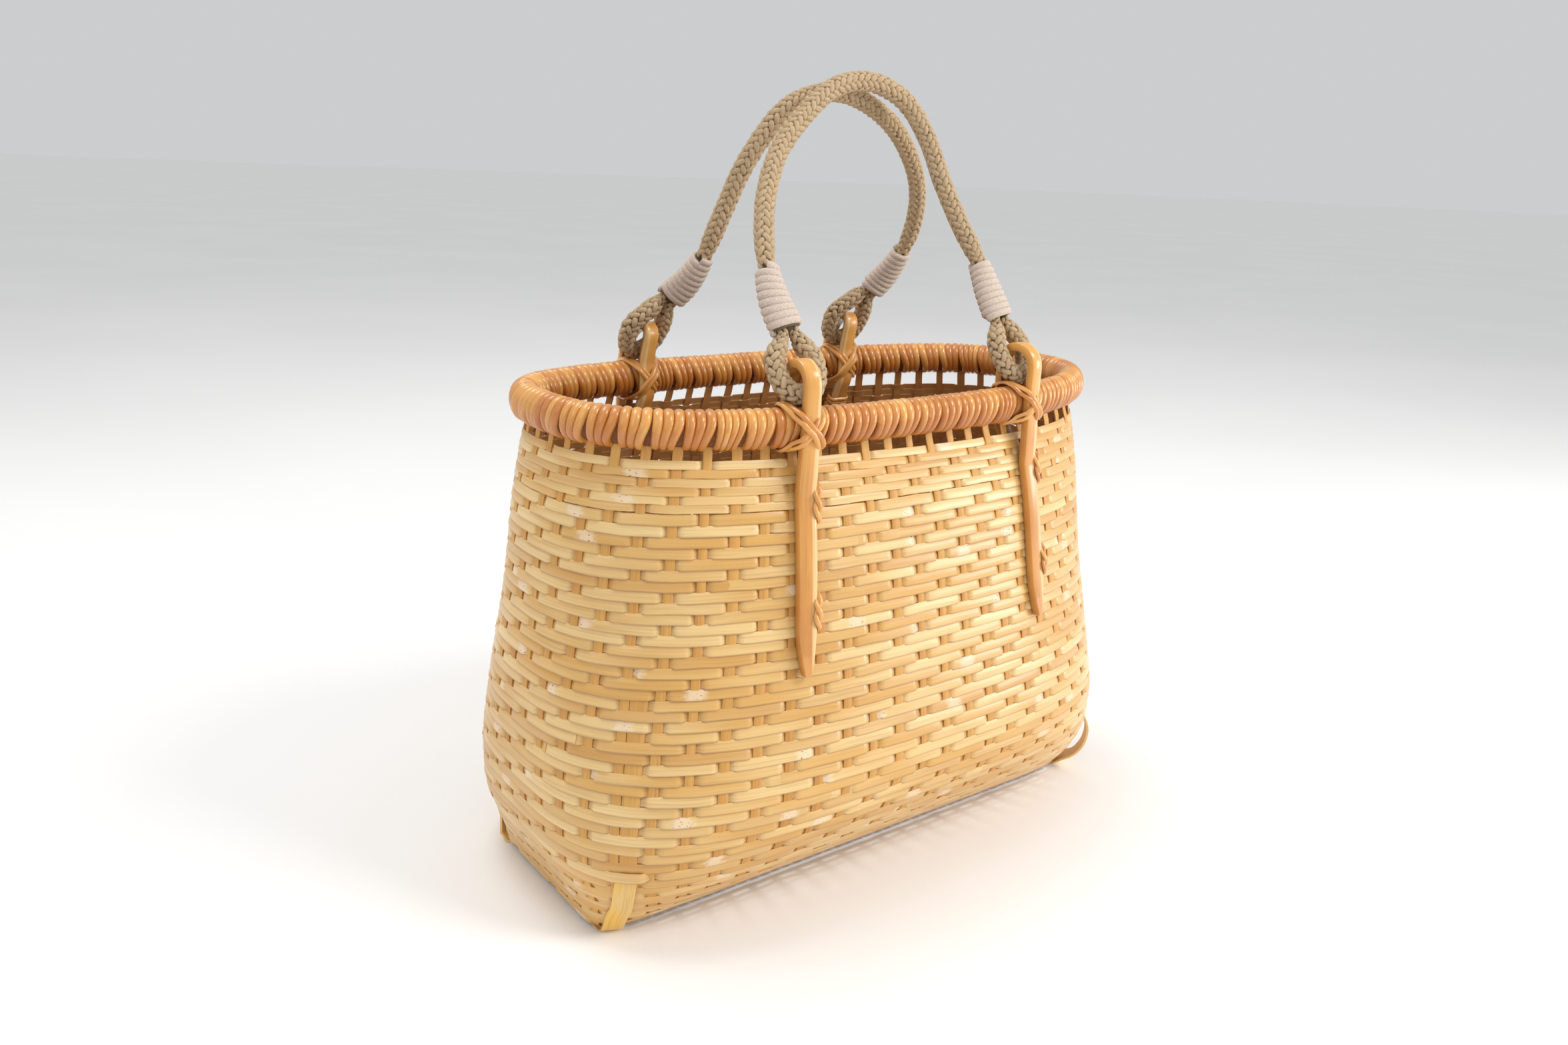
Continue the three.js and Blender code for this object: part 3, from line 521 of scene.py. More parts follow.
class Finish:
    """A material in the making."""

    def __init__(self, name):
        self.material = bpy.data.materials.new(name)
        self.material.use_nodes = True
        self.tree = self.material.node_tree
        self.shader = self.tree.nodes["Principled BSDF"]
        self.base = None

    def node(self, kind, settings, *values, **named):
        """A node with its settings, then its sockets in order or by name."""
        made = self.tree.nodes.new(kind)
        for key, setting in settings.items():
            setattr(made, key, setting)
        pairs = [(made.inputs[i], value) for i, value in enumerate(values)]
        pairs += [(made.inputs[key.replace("_", " ")], value) for key, value in named.items()]
        for socket, value in pairs:
            self.feed(socket, value)
        return made

    def feed(self, socket, value):
        if isinstance(value, Value):
            self.tree.links.new(value.socket, socket)
        elif isinstance(value, bpy.types.NodeSocket):
            self.tree.links.new(value, socket)
        elif value is not None:
            socket.default_value = value

    def mark(self, name):
        """A mark on the piece's points, as a number."""
        made = self.node("ShaderNodeAttribute", {"attribute_name": name})
        return Value(self, made.outputs["Fac"])

    def uv(self, along=1, across=1):
        """The place on a strip, stretched by a number each way."""
        made = self.node("ShaderNodeUVMap", {"uv_map": "UVMap"})
        return self.node("ShaderNodeMapping", {}, made.outputs[0], Scale=(along, across, 1)).outputs[0]

    def place(self, stretch):
        made = self.node("ShaderNodeTexCoord", {})
        return self.node("ShaderNodeMapping", {}, made.outputs["Object"], Scale=(stretch,) * 3).outputs[0]

    def noise(self, vector, detail=2.0, roughness=0.5, seed=0.0):
        """A cloudy number. "seed" may be a mark, so that each strip gets a pattern of its own."""
        made = self.node("ShaderNodeTexNoise", {"noise_dimensions": "4D"}, Vector=vector, W=seed,
                         Scale=1.0, Detail=detail, Roughness=roughness)
        return Value(self, made.outputs["Fac"])

    def split(self, vector):
        made = self.node("ShaderNodeSeparateXYZ", {}, vector)
        return [Value(self, socket) for socket in made.outputs]

    def mix(self, share, first, second):
        """A colour between two others, which are links or colours."""
        made = self.node("ShaderNodeMix", {"data_type": "RGBA"})
        for number, value in ((0, share), (6, first), (7, second)):
            self.feed(made.inputs[number], value)
        return made.outputs[2]

    def bump(self, height, depth, strength=1.0):
        made = self.node("ShaderNodeBump", {}, Strength=strength, Distance=depth, Height=height)
        self.feed(self.shader.inputs["Normal"], made.outputs[0])

    def tint(self, share, colour, level=1.0):
        """Turns the base colour by a share towards another one."""
        self.base = self.mix(share, self.base, rgba(colour, level))

    def coat(self, weight, roughness):
        self.shader.inputs["Coat Weight"].default_value = weight
        self.shader.inputs["Coat Roughness"].default_value = roughness

    def done(self, roughness):
        self.feed(self.shader.inputs["Base Color"], self.base)
        self.feed(self.shader.inputs["Roughness"], roughness)
        return self.material


def linear(red, green, blue):
    """The linear colour of an sRGB one given in 0 to 255."""
    def one(value):
        share = value / 255
        return share / 12.92 if share <= 0.04045 else ((share + 0.055) / 1.055) ** 2.4
    return (one(red), one(green), one(blue))


def colour_property(name, description, default):
    return bpy.props.FloatVectorProperty(name=name, description=description, default=default, size=3,
                                         subtype="COLOR", min=0, max=1)


def length_property(name, description, default):
    return bpy.props.FloatProperty(name=name, description=description, default=default, unit="LENGTH",
                                   precision=5)


class BasketSizes(bpy.types.PropertyGroup):
    stake_width: length_property("Stake width", "Width of the upright stakes", 4.2 * MM)
    stake_thickness: length_property("Stake thickness", "Thickness of the upright stakes", 0.7 * MM)
    weaver_thickness: length_property("Weaver thickness", "Thickness of the weavers", 0.6 * MM)
    weaver_wave: length_property(
        "Weaver wave", "How far weavers pass outside or inside the stakes", 0.52 * MM)
    stake_wave: length_property("Stake wave", "How far stakes give way to the weavers", 0.22 * MM)
    rim_cane_thickness: length_property("Rim cane thickness", "Thickness of the rim's cane", 1.9 * MM)
    stitch_length: length_property(
        "Stitch length", "Length of one stitch of the braid along the rope", 3.8 * MM)
    whipping_cord: length_property("Whipping cord", "Width of one turn of a whipping", 3.5 * MM)


class BasketColours(bpy.types.PropertyGroup):
    weaver: colour_property("Weaver", "Skin of the weavers", linear(218, 166, 84))
    weaver_pale: colour_property("Pale weaver", "Palest weavers", linear(238, 204, 140))
    # Warm weaver is the weavers' own warm tone. It is also the painted shade where they dive under stakes and
    # along their lower edges.
    weaver_warm: colour_property("Warm weaver", "Warmest weavers and their dips", linear(190, 128, 56))
    scar: colour_property("Scar", "Scraped bamboo at a node", linear(244, 222, 192))
    # Inside is the duller back of the bamboo, made dark partly as painted shade for the basket's shaded
    # inside.
    inside: colour_property("Inside", "Back of the bamboo", linear(166, 108, 54))
    stake: colour_property("Stake", "Skin of the stakes", linear(212, 154, 78))
    strip: colour_property("Strip", "Broad strips at the corners", linear(246, 190, 62))
    # Rim and Pale rim: the cane's deep and pale tones, also used for painted shade on the lower side of each
    # rim turn and painted light on the hooks' arches.
    rim: colour_property("Rim", "Cane of the rim", linear(196, 116, 42))
    rim_pale: colour_property("Pale rim", "Palest cane of the rim", linear(234, 172, 86))
    hook: colour_property("Hook", "Skin of the hooks", linear(204, 136, 62))
    # Core: painted shade for the dark core between the rim's turns. It also colours the real dark specks at
    # the weavers' nodes.
    core: colour_property("Core", "Dark core under the wound cane", linear(112, 66, 30))
    rope: colour_property("Rope", "Fibre of the rope", linear(204, 176, 138))
    # Painted shade: the dark colour of the gaps between the braid's stitches and between the whippings'
    # turns.
    rope_gap_shade: colour_property("Dark rope", "Gaps of the braid", linear(84, 62, 40))
    whipping: colour_property("Whipping", "Cord of the whippings", linear(212, 194, 178))
    floor: colour_property("Floor", "The surface under the basket", linear(254, 253, 251))


def sizes():
    return bpy.context.scene.basket_sizes


def colours():
    return bpy.context.scene.basket_colours


def rgba(colour, level=1.0):
    return (*[channel * level for channel in colour], 1.0)


def row_places():
    """Each weaver's height and the pitch of its band, from the base up."""
    rows, height = [], FIRST_ROW
    for band in ROW_BANDS:
        for _ in range(band["rows"]):
            rows.append((height, band["pitch"]))
            height += band["pitch"]
    return rows


# The middle of the weave lies this far inside the body's outside.
WEAVE_DEPTH = 1.25 * MM

# Where a weaver is placed along the three stakes of its pattern, in stakes from the one that it
# goes under: closely where it dives and sparsely where it runs on.
WEAVER_STEPS = (-1.1, -0.7, -0.42, -0.33, -0.25, -0.17, 0, 0.17, 0.25, 0.33, 0.42, 0.7, 1.1, 1.5)

# The last rows climb towards one end of the basket, where the open row is nearly closed.
TOP_TILT = 1.7 * MM
TOP_TILT_SHARE = 0.56

# A weaver's width where it runs over stakes and where it lies under one, as shares of its
# row's pitch: the rows overlap a little.
WEAVER_SPREAD = 1.1
WEAVER_PINCH = 1.08

# How far from the middle of its stake, in stakes, a weaver is still right under it, and how far
# it is until it lies over its neighbours.
DIVE = (0.17, 0.36)

# How far the loose end of a spliced weaver stands out, and its size as shares of the weaver's.
TAIL_LIFT = 0.45 * MM
TAIL_SECTION = (0.92, 0.7)

# How far a weaver's upper edge leans in, so that each row shades the one below, in radians.
SHINGLE = 0.13

# Broad stakes beside the ends of the base strips: the end and side of the basket that they
# stand at, whether their strip lies on a long side or on an end, and the heights they span.
BROAD_STAKES = [
    {"end": -1, "side": -1, "on": "side", "low": 30 * MM, "high": 126 * MM},
    {"end": 1, "side": 1, "on": "side", "low": 30 * MM, "high": 122 * MM},
    {"end": 1, "side": -1, "on": "end", "low": 30 * MM, "high": 118 * MM},
    {"end": -1, "side": 1, "on": "end", "low": 30 * MM, "high": 124 * MM},
]
BROAD_WIDTH = 7.6 * MM

# How much further, in stakes, a weaver stays under past the stake beside a broad one.
BROAD_REACH = 0.56

# Where a base strip lies on the wall, as shares of half the outline's width on a long side and
# of half its depth on an end, from its foot to its top.
STRIP_ON = {"side": (0.95, 0.892), "end": (0.88, 0.7)}
STRIP_WIDTH = 9.5 * MM
STRIP_THICKNESS = 1.3 * MM
STRIP_RISE = 38 * MM
STRIP_BOW = 6 * MM
STRIP_FOLD = 12 * MM

# The two strips: whether their ends lie on the long sides or on the ends, which way they cross,
# how far the upper one steps over the lower, and how far each half bows away from the wall.
BASE_STRIPS = [
    {"name": "lower", "on": "side", "turn": 1, "over": 0, "bows": (0, 0)},
    {"name": "upper", "on": "end", "turn": -1, "over": STRIP_THICKNESS + GAP, "bows": (STRIP_BOW, 0)},
]

# How far the weaver that covers a base strip's end stands out.
STRIP_COVER = 1.3 * MM


def under_distance(stakes, row, broad):
    """How far, in stakes, a weaver's place lies from the nearest stake that it goes under."""
    gap = np.abs((stakes - row + 1.5) % 3 - 1.5)
    for first, reach in broad:
        if (first - row) % 3 == 0:
            beside = (stakes - first + STAKES / 2) % STAKES - STAKES / 2
            gap = np.where((beside >= 0) & (beside < 1.8), np.maximum(beside - reach, 0), gap)
    return gap


def broad_places(wall):
    """For each broad stake, the stake that it stands beside and its base strip's share."""
    places = []
    for row in BROAD_STAKES:
        share = STRIP_ON[row["on"]][1]
        wide, deep, square, _ = wall.outline(STRIP_RISE)
        rest = (1 - share ** square) ** (1 / square)
        x, y = (share, rest) if row["on"] == "side" else (rest, share)
        strip = wall.share_of(row["end"] * x * wide, row["side"] * y * deep, STRIP_RISE)
        stake = round(strip * STAKES - 0.5)
        places.append((stake % STAKES, strip, row))
    return places


def weaver_shares(row, broad):
    """The shares of the way round at which a weaver is placed."""
    under = np.arange(row % 3, STAKES, 3)
    steps = (under[:, None] + np.array(WEAVER_STEPS)).ravel()
    for first, reach in broad:
        if (first - row) % 3 == 0:
            steps = np.append(steps, first + reach + np.array(WEAVER_STEPS[6:11]))
    return (np.unique(np.round(steps % STAKES, 3)) + 0.5) / STAKES


def weaver_route(wall, row, height, rng, broad, strips):
    """The route of one weaver, and how deep it dips under stakes along it."""
    here = [(first, reach) for first, reach, low, high in broad if low < height < high]
    share = weaver_shares(row, here)
    shared = waves(random.Random(5), share, (1, 2, 3), 0.5 * MM) * math.sin(math.pi * height / WALL_TOP)
    tilt = TOP_TILT * np.cos(2 * math.pi * (share - TOP_TILT_SHARE)) * (height / WALL_TOP) ** 5
    wander = waves(rng, share, (2, 5, 9), 0.16 * MM) + waves(rng, share, (23, 31, 43), 0.2 * MM)
    dip = 1 - smooth(*DIVE, under_distance(share * STAKES - 0.5, row, here))
    bulge = np.zeros_like(share)
    if abs(height - STRIP_RISE) < 2 * MM:
        for strip in strips:
            aside = np.abs((share - strip + 0.5) % 1 - 0.5) * wall.length(height)
            over = 1 - smooth(STRIP_WIDTH * 0.55, STRIP_WIDTH * 1.2, aside)
            dip = dip * (1 - over)
            bulge = np.maximum(bulge, over * STRIP_COVER)
    point, _, rise, out = wall.frame(share, height + shared + tilt + wander)
    wave = sizes().weaver_wave
    depth = wave * (1 - 2 * dip) - WEAVE_DEPTH + bulge
    twist = waves(rng, share, (7, 13, 29), 0.06) - SHINGLE
    return Route(point + out * depth[:, None], rise, out, True).twisted(twist), dip


def weave_rows(wall, piece, rows, first, rng, broad, strips):
    """Weaves some rows into a piece, with the cut ends of spliced weavers on some of them."""
    for row, (height, pitch) in enumerate(rows, start=first):
        route, dip = weaver_route(wall, row, height, rng, broad, strips)
        width = pitch * rng.uniform(0.97, 1.03)
        section = split_section(width, sizes().weaver_thickness * rng.uniform(0.9, 1.1))
        spread = WEAVER_SPREAD - (WEAVER_SPREAD - WEAVER_PINCH) * dip
        piece.sleeve(route, tapered(section, spread), {"tone": rng.random(), "dip": dip})
        for _ in range(rng.choice((0, 1, 1, 2))):
            start = rng.randrange(len(route.points))
            tail = route.part(start, start + rng.randint(9, 15))
            tail = tail.lifted(TAIL_LIFT * np.linspace(0, 1, len(tail.points)))
            piece.sleeve(tail, section * TAIL_SECTION, {"tone": rng.random(), "dip": 0})


def stake_route(wall, share, number, low, high, rows):
    """The route of a stake, which gives way to the weavers that cross it."""
    heights = np.arange(low, high, 1.4 * MM)
    row = np.interp(heights, [height for height, _ in rows], np.arange(len(rows)))
    far = np.abs((row - number + 1.5) % 3 - 1.5)
    lift = sizes().stake_wave * (1 - 2 * smooth(0.3, 0.9, far))
    lift = np.where(heights > rows[-1][0] + 2 * MM, 0, lift)
    point, _, _, out = wall.frame(share, heights)
    return Route.facing(point + out * (lift - WEAVE_DEPTH)[:, None], out)


def base_mat(piece, rng):
    """The flat weave of the base, whose strips cross two over and two under."""
    wide, deep = BASE - 1.2 * MM
    across, along = 6.2 * MM, 6.6 * MM
    middle, wave = BASE_LIFT + 1 * MM, 0.42 * MM
    section = split_section(5.7 * MM, 0.7 * MM)
    for way in (0, 1):
        reach, other, pitch, step = ((wide, deep, across, along), (deep, wide, along, across))[way]
        count = int(2 * (other - 2.5 * MM) / pitch) + 1
        for number in range(count):
            beside = (number - (count - 1) / 2) * pitch
            inset = 0.4 * MM + 3 * MM * max(0, abs(beside) / other - 0.9) / 0.1
            run = np.arange(-reach + inset, reach - inset + step / 4, step / 3)
            crossing = np.rint(run / step).astype(int)
            over = np.where((crossing + number) % 4 < 2, 1, -1) * (1 if way else -1)
            over = np.convolve(np.pad(over, 2, mode="edge"), np.ones(3) / 3, mode="same")[2:-2]
            share = np.hypot(run / wide, beside / deep) if way == 0 else np.hypot(run / deep, beside / wide)
            dome = 1.8 * MM * np.clip(1 - share ** 2, 0, 1)
            level = middle + dome + over * wave
            flat = [run, np.full_like(run, beside)] if way == 0 else [np.full_like(run, beside), run]
            points = np.stack([*flat, level], axis=1)
            route = Route.facing(points, np.tile([0, 0, -1.0], (len(run), 1)))
            piece.sleeve(route, section, {"tone": rng.random(), "dip": (1 + over) / 2})


class WeaveBody(bpy.types.Operator):
    """Weaves the basket's body: its stakes, its weavers and the mat of its base"""

    bl_idname = "basket.body"
    bl_label = "Body"

    def execute(self, context):
        rng = random.Random(11)
        wall = Wall()
        rows = row_places()
        places = broad_places(wall)
        broad = [(stake, BROAD_REACH, row["low"], row["high"]) for stake, _, row in places]
        strips = [strip for _, strip, _ in places]
        weaver = weaver_finish()
        half = len(rows) // 2
        for name, first, last in (("weavers_lower", 0, half), ("weavers_upper", half, len(rows))):
            piece = Piece(name)
            weave_rows(wall, piece, rows[first:last], first, rng, broad, strips)
            piece.finish(weaver, "weave", ("basket_body",))
        piece = Piece("stakes")
        section = split_section(sizes().stake_width, sizes().stake_thickness)
        for number in range(STAKES):
            share = (number + 0.5) / STAKES + rng.uniform(-0.5, 0.5) * MM / wall.length(0.1)
            route = stake_route(wall, share, number, BASE_LIFT + 0.8 * MM, RIM_MIDDLE - 4 * MM, rows)
            piece.sleeve(route, section * (rng.uniform(0.86, 1.12), 1), {"tone": rng.random()})
        for stake, _, row in places:
            share = (stake + 0.5) / STAKES + (sizes().stake_width + BROAD_WIDTH) / 2 / wall.length(80 * MM)
            route = stake_route(wall, share, stake, row["low"], row["high"], rows)
            section = split_section(BROAD_WIDTH, sizes().stake_thickness)
            piece.sleeve(route, section, {"tone": rng.random()})
        piece.finish(stake_finish(), "weave", ("basket_body",))
        piece = Piece("base_mat")
        base_mat(piece, rng)
        piece.finish(weaver, "weave", ("basket_body",))
        return {"FINISHED"}


def rim_frame(wall, share):
    """The rim's middle line at a share of the way round, and the way out."""
    point, around, _, _ = wall.frame(share, WALL_TOP)
    out = np.cross(unit(around * (1, 1, 0)), UP)
    return point - out * WALL / 2 + UP * (RIM_MIDDLE - WALL_TOP), out


def round_the_rim(wall, gap, along, thick, high, lift):
    """A closed turn round the rim from a gap between stakes, moved "along" at each step."""
    turn = 2 * math.pi * np.arange(len(along)) / len(along)
    share = gap / STAKES + along / wall.length(WALL_TOP)
    middle, out = rim_frame(wall, share)
    c, s = np.cos(turn)[:, None], np.sin(turn)[:, None]
    points = middle + out * c * (thick + lift) + UP * s * (high + lift)
    return Route.facing(points, unit(out * c / thick + UP * s / high), True)


# The cane of the rim goes round in groups: how many turns a group has, by chance, how wide it
# is where it passes between two stakes, and how far its top leans back, in stakes.
GROUP_TURNS = (3, 3, 3, 4)
GROUP_FOOT = 9.4 * MM
GROUP_LEAN = 0.32

class WindRim(bpy.types.Operator):
    """Winds the cane of the rim in groups that pass between the stakes"""

    bl_idname = "basket.rim"
    bl_label = "Rim"
    STEPS = 24

    def execute(self, context):
        rng = random.Random(23)
        wall = Wall()
        # The rim's core is dark as painted shade for the gaps between the groups of turns.
        core = Piece("rim_core")
        share = np.arange(240) / 240
        middle, out = rim_frame(wall, share)
        core_section = round_section(RIM_HALF_THICK - 1.5 * MM, RIM_HALF_HIGH - 1.4 * MM, 12)
        core.sleeve(Route(middle, out, np.tile(UP, (240, 1)), True), core_section, {"tone": 0.5})
        core.finish(core_shade_finish("rim core shade"), "rim", ("rim",))
        piece = Piece("rim_wrapping")
        pitch = wall.length(WALL_TOP) / STAKES
        thickness = sizes().rim_cane_thickness
        turn = 2 * math.pi * np.arange(self.STEPS) / self.STEPS
        high = smooth(-0.95, 0.8, np.sin(turn))
        sunk = thickness * 0.92
        for gap in range(STAKES):
            turns = rng.choice(GROUP_TURNS)
            width = pitch / turns
            for k in range(turns):
                foot = (k - (turns - 1) / 2) * GROUP_FOOT / turns + rng.uniform(-0.2, 0.2) * MM
                head = width * (k + 0.5) - GROUP_LEAN * pitch + rng.uniform(-0.15, 0.15) * MM
                along = foot + (head - foot) * high
                lift = (rng.uniform(-0.12, 0.12) + 0.12 * k * (1 - high[:, None])) * MM
                route = round_the_rim(wall, gap, along, RIM_HALF_THICK - sunk, RIM_HALF_HIGH - sunk, lift)
                section = tapered(domed_section(width * 1.04, thickness), 0.86 + 0.14 * high)
                # The dip mark is the lower side of each turn, where the cane finish paints shade.
                piece.sleeve(route, section, {"tone": rng.random(), "dip": 1 - high})
        piece.finish(cane_finish("rim cane", colours().rim, colours().rim_pale), "rim", ("rim",), sharp=70)
        return {"FINISHED"}


class HookPlace:
    """The frame of a hook: its point on the rim's middle line, the way out and the way along."""

    def __init__(self, wall, row):
        wide, deep, square, _ = wall.outline(WALL_TOP)
        wide, deep = wide - WALL / 2, deep - WALL / 2
        x = row["end"] * HOOK_HALF_SPACING
        y = row["side"] * deep * (1 - abs(x / wide) ** square) ** (1 / square)
        slope = [math.copysign(abs(v / size) ** (square - 1) / size, v) for v, size in ((x, wide), (y, deep))]
        self.wall, self.end, self.lean = wall, row["end"], row["lean"]
        self.out = unit(np.array([*slope, 0.0]))
        self.along = np.cross(UP, self.out)
        self.foot = np.array([x, y, RIM_SADDLE * ((x / wide) ** 2 - 0.5)])

    def place(self, along, out, height):
        along, out, height = (np.asarray(value, float)[..., None] for value in (along, out, height))
        return self.foot + self.along * along + self.out * out + UP * height

    def leaning(self, along, out, height):
        """A place above the rim, where the hook may lean into the basket."""
        share = (height - RIM_TOP) / HOOK_ARCH
        return self.place(along, out - self.lean * share * share, height)

    def reach(self, along, height):
        """How far out the wall's outside lies at a height."""
        wide, deep, square, _ = self.wall.outline(height)
        near, far = -MOUTH[1], BELLY[1]
        for _ in range(40):
            middle = (near + far) / 2
            x, y, _ = self.place(along, middle, 0)
            if abs(x / wide) ** square + abs(y / deep) ** square < 1:
                near = middle
            else:
                far = middle
        return near

    def inner_leg(self, share):
        foot = RIM_TOP - INNER_LEG
        height = WALL_TOP + (foot - WALL_TOP) * share
        wall = self.reach(0, foot) - WALL - INSIDE_GAP - HOOK_THICKNESS / 2
        return self.place(0, -RIM_SIDE + (wall + RIM_SIDE) * share, height)

    def outer_leg(self, height):
        """The middle of the outer leg at a height, and how far it splays there."""
        foot = RIM_TOP - OUTER_LEG
        share = (height - foot) / (RIM_MIDDLE - foot)
        splay = self.end * math.copysign(1, self.along[0]) * HOOK_SPLAY * (1 - share)
        wall = self.reach(splay, height) + GAP + HOOK_THICKNESS / 2 if height < WALL_TOP else 0
        return self.place(splay, max(wall, RIM_SIDE), height), splay, max(wall, RIM_SIDE)

    def points(self):
        heights = np.linspace(RIM_TOP - OUTER_LEG, RIM_MIDDLE, 30)
        rows = [self.outer_leg(height)[0] for height in heights]
        rows += [self.place(0, RIM_SIDE, RIM_TOP)]
        turns = np.linspace(0, math.pi, 21)
        middle = RIM_TOP + HOOK_ARCH - HOOK_THICKNESS / 2 - RIM_SIDE
        rows += [self.leaning(0, RIM_SIDE * math.cos(t), middle + RIM_SIDE * math.sin(t)) for t in turns]
        rows += [self.place(0, -RIM_SIDE, RIM_TOP), self.place(0, -RIM_SIDE, RIM_MIDDLE)]
        rows += [self.inner_leg(share) for share in np.linspace(0, 1, 6)]
        return np.array(rows)


def hook_places(wall):
    return {row["name"]: HookPlace(wall, row) for row in HOOKS}


# Width of a hook as a share of its full width, along the strip from the tip of its outer leg.
HOOK_WIDTHS = {
    "along": (0, 0.035, 0.09, 0.45, 0.55, 0.8, 1),
    "width": (0.36, 0.72, 1, 0.97, ARCH_SHARE, ARCH_SHARE, 0.9),
}

# A hook's section as shares of its half width and half thickness: flat on the outside, with
# one edge rounded off where the skin of the bamboo was left on.
HOOK_SECTION = np.array([
    [-1, -1], [0.9, -1], [1, -0.55], [1, 0.1], [0.93, 0.62], [0.78, 0.94], [0.55, 1],
    [-0.86, 1], [-0.97, 0.82], [-1, 0.5],
])


class BendHooks(bpy.types.Operator):
    """Bends the four hooks over the rim"""

    bl_idname = "basket.hooks"
    bl_label = "Hooks"

    def execute(self, context):
        rng = random.Random(31)
        finish = hook_finish()
        for name, hook in hook_places(Wall()).items():
            points = even_steps(hook.points(), 96)
            route = Route.lying(points, np.tile(hook.along, (len(points), 1)))
            share = np.linspace(0, 1, len(points))
            width = np.interp(share, HOOK_WIDTHS["along"], HOOK_WIDTHS["width"])
            section = tapered(HOOK_SECTION, width * HOOK_WIDTH / 2, HOOK_THICKNESS / 2)
            # The arch mark, carried in the dip slot, is where the hook finish paints light on the top of the
            # arch.
            arch = smooth(0.42, 0.56, share) * (1 - smooth(0.74, 0.86, share))
            piece = Piece("bent_hook_" + name)
            piece.sleeve(route, section, {"tone": rng.random(), "dip": arch})
            piece.finish(finish, "hook", ("hook_" + name,), sharp=40)
        return {"FINISHED"}


def rim_tie_route(hook, hand, layer, shift):
    """A closed turn of cane that crosses over the rim and both legs of a hook."""
    clear = GAP + LASHING_THICKNESS / 2 + layer * LASHING_THICKNESS * 0.8
    half_out, half_up = RIM_HALF_THICK + clear, RIM_HALF_HIGH + clear
    turn = 2 * math.pi * (np.arange(44) + 0.5) / 44
    c, s = np.cos(turn), np.sin(turn)
    up = np.sign(s) * np.abs(s) ** 0.8
    along = LASHING_SHIFT + hand * LASHING_REACH * up - LASHING_LEAN * up * up + shift
    beside = HOOK_WIDTH / 2
    step_over = (HOOK_THICKNESS + GAP) * (1 - smooth(beside, beside + 2.6 * MM, np.abs(along)))
    out = half_out * c + step_over * np.clip(3 * c, -1, 1)
    points = hook.place(along, out, RIM_MIDDLE + half_up * s)
    faces = hook.out * (c / half_out)[:, None] + UP * (s / half_up)[:, None]
    return Route.facing(points, unit(faces), True)


def leg_tie(piece, hook, top, bottom, rng):
    """Two strands of cane twisted into a loop over the edge of a hook's outer leg."""
    heights = np.linspace(top, bottom, 30)
    for strand in (0, 1):
        turn = 2 * math.pi * (heights - bottom) / (13 * MM) + strand * math.pi
        rows = []
        for height, angle in zip(heights, turn):
            share = (height - bottom) / (top - bottom)
            _, splay, out = hook.outer_leg(height)
            dive = 1 - math.sin(math.pi * share) ** 0.4
            beside = HOOK_WIDTH / 2 - 0.5 * MM + 1.15 * MM * math.cos(angle) + 1.6 * MM * dive
            over = 2.5 * MM + 0.7 * MM * math.sin(angle) - 5.4 * MM * dive
            rows.append(hook.place(splay + beside, out + over, height))
        points = np.array(rows)
        faces = np.tile(hook.out, (len(points), 1)) + hook.along * 0.35
        piece.sleeve(Route.facing(points, faces), domed_section(2.5 * MM, 1.1 * MM), {"tone": rng.random()})


# The two strands of a tie over the rim: how wide each one is and how far aside it lies.
TIE_WIDTH = 2.8 * MM
TIE_SHIFT = 1.35 * MM

# Heights of the ties on the outer legs, from the surface that the basket stands on.
LEG_TIES = [
    {"top": 203 * MM, "bottom": 187 * MM},
    {"top": 157 * MM, "bottom": 141 * MM},
]


class TieHooks(bpy.types.Operator):
    """Ties the hooks to the rim and the wall with split cane"""

    bl_idname = "basket.ties"
    bl_label = "Cane ties"

    def execute(self, context):
        rng = random.Random(41)
        cane = cane_finish("tie cane", colours().rim, colours().rim_pale)
        for name, hook in hook_places(Wall()).items():
            piece = Piece("rim_ties_" + name)
            for hand, layer in ((1, 0), (-1, 1)):
                for shift in (-TIE_SHIFT, TIE_SHIFT):
                    route = rim_tie_route(hook, hand, layer, shift + rng.uniform(-0.15, 0.15) * MM)
                    section = domed_section(TIE_WIDTH, 1.25 * MM) - (0, 0.5 * MM)
                    piece.sleeve(route, section, {"tone": rng.random(), "dip": 0})
            piece.finish(cane, "lashing", ("rim_lashing_" + name,), sharp=70)
            piece = Piece("leg_ties_" + name)
            for row in LEG_TIES:
                leg_tie(piece, hook, row["top"], row["bottom"], rng)
            piece.finish(cane, "lashing", sharp=70)
            piece = Piece("inner_ties_" + name)
            self.tie_inside(piece, hook, rng)
            piece.finish(cane, "lashing", ("inner_lashing_" + name,), sharp=70)
        return {"FINISHED"}

    def tie_inside(self, piece, hook, rng):
        """Four turns of cane over the inner leg, whose ends go back into the wall."""
        top, foot = hook.inner_leg(0.4), hook.inner_leg(1)
        down = unit(foot - top)
        inward = unit(np.cross(down, hook.along))
        inward *= -math.copysign(1, inward.dot(hook.out))
        over = HOOK_THICKNESS / 2 + GAP
        beside = HOOK_WIDTH / 2 + GAP
        back = -HOOK_THICKNESS / 2
        corner = 0.8 * MM
        route = [[-beside, back], [-beside, over - corner], [corner - beside, over], [0, over],
                 [beside - corner, over], [beside, over - corner], [beside, back]]
        for turn in range(4):
            middle = (top + foot) / 2 + down * (turn - 1.5) * 2.5 * MM
            lean = rng.uniform(-0.3, 0.3) * MM
            aside = hook.along + down * lean / beside
            points = spline([middle + aside * s + inward * f for s, f in route], 22)
            faces = unit(points - middle + inward * 1.5 * MM)
            section = domed_section(2.4 * MM, 1.1 * MM)
            piece.sleeve(Route.facing(points, faces), section, {"tone": rng.random()})


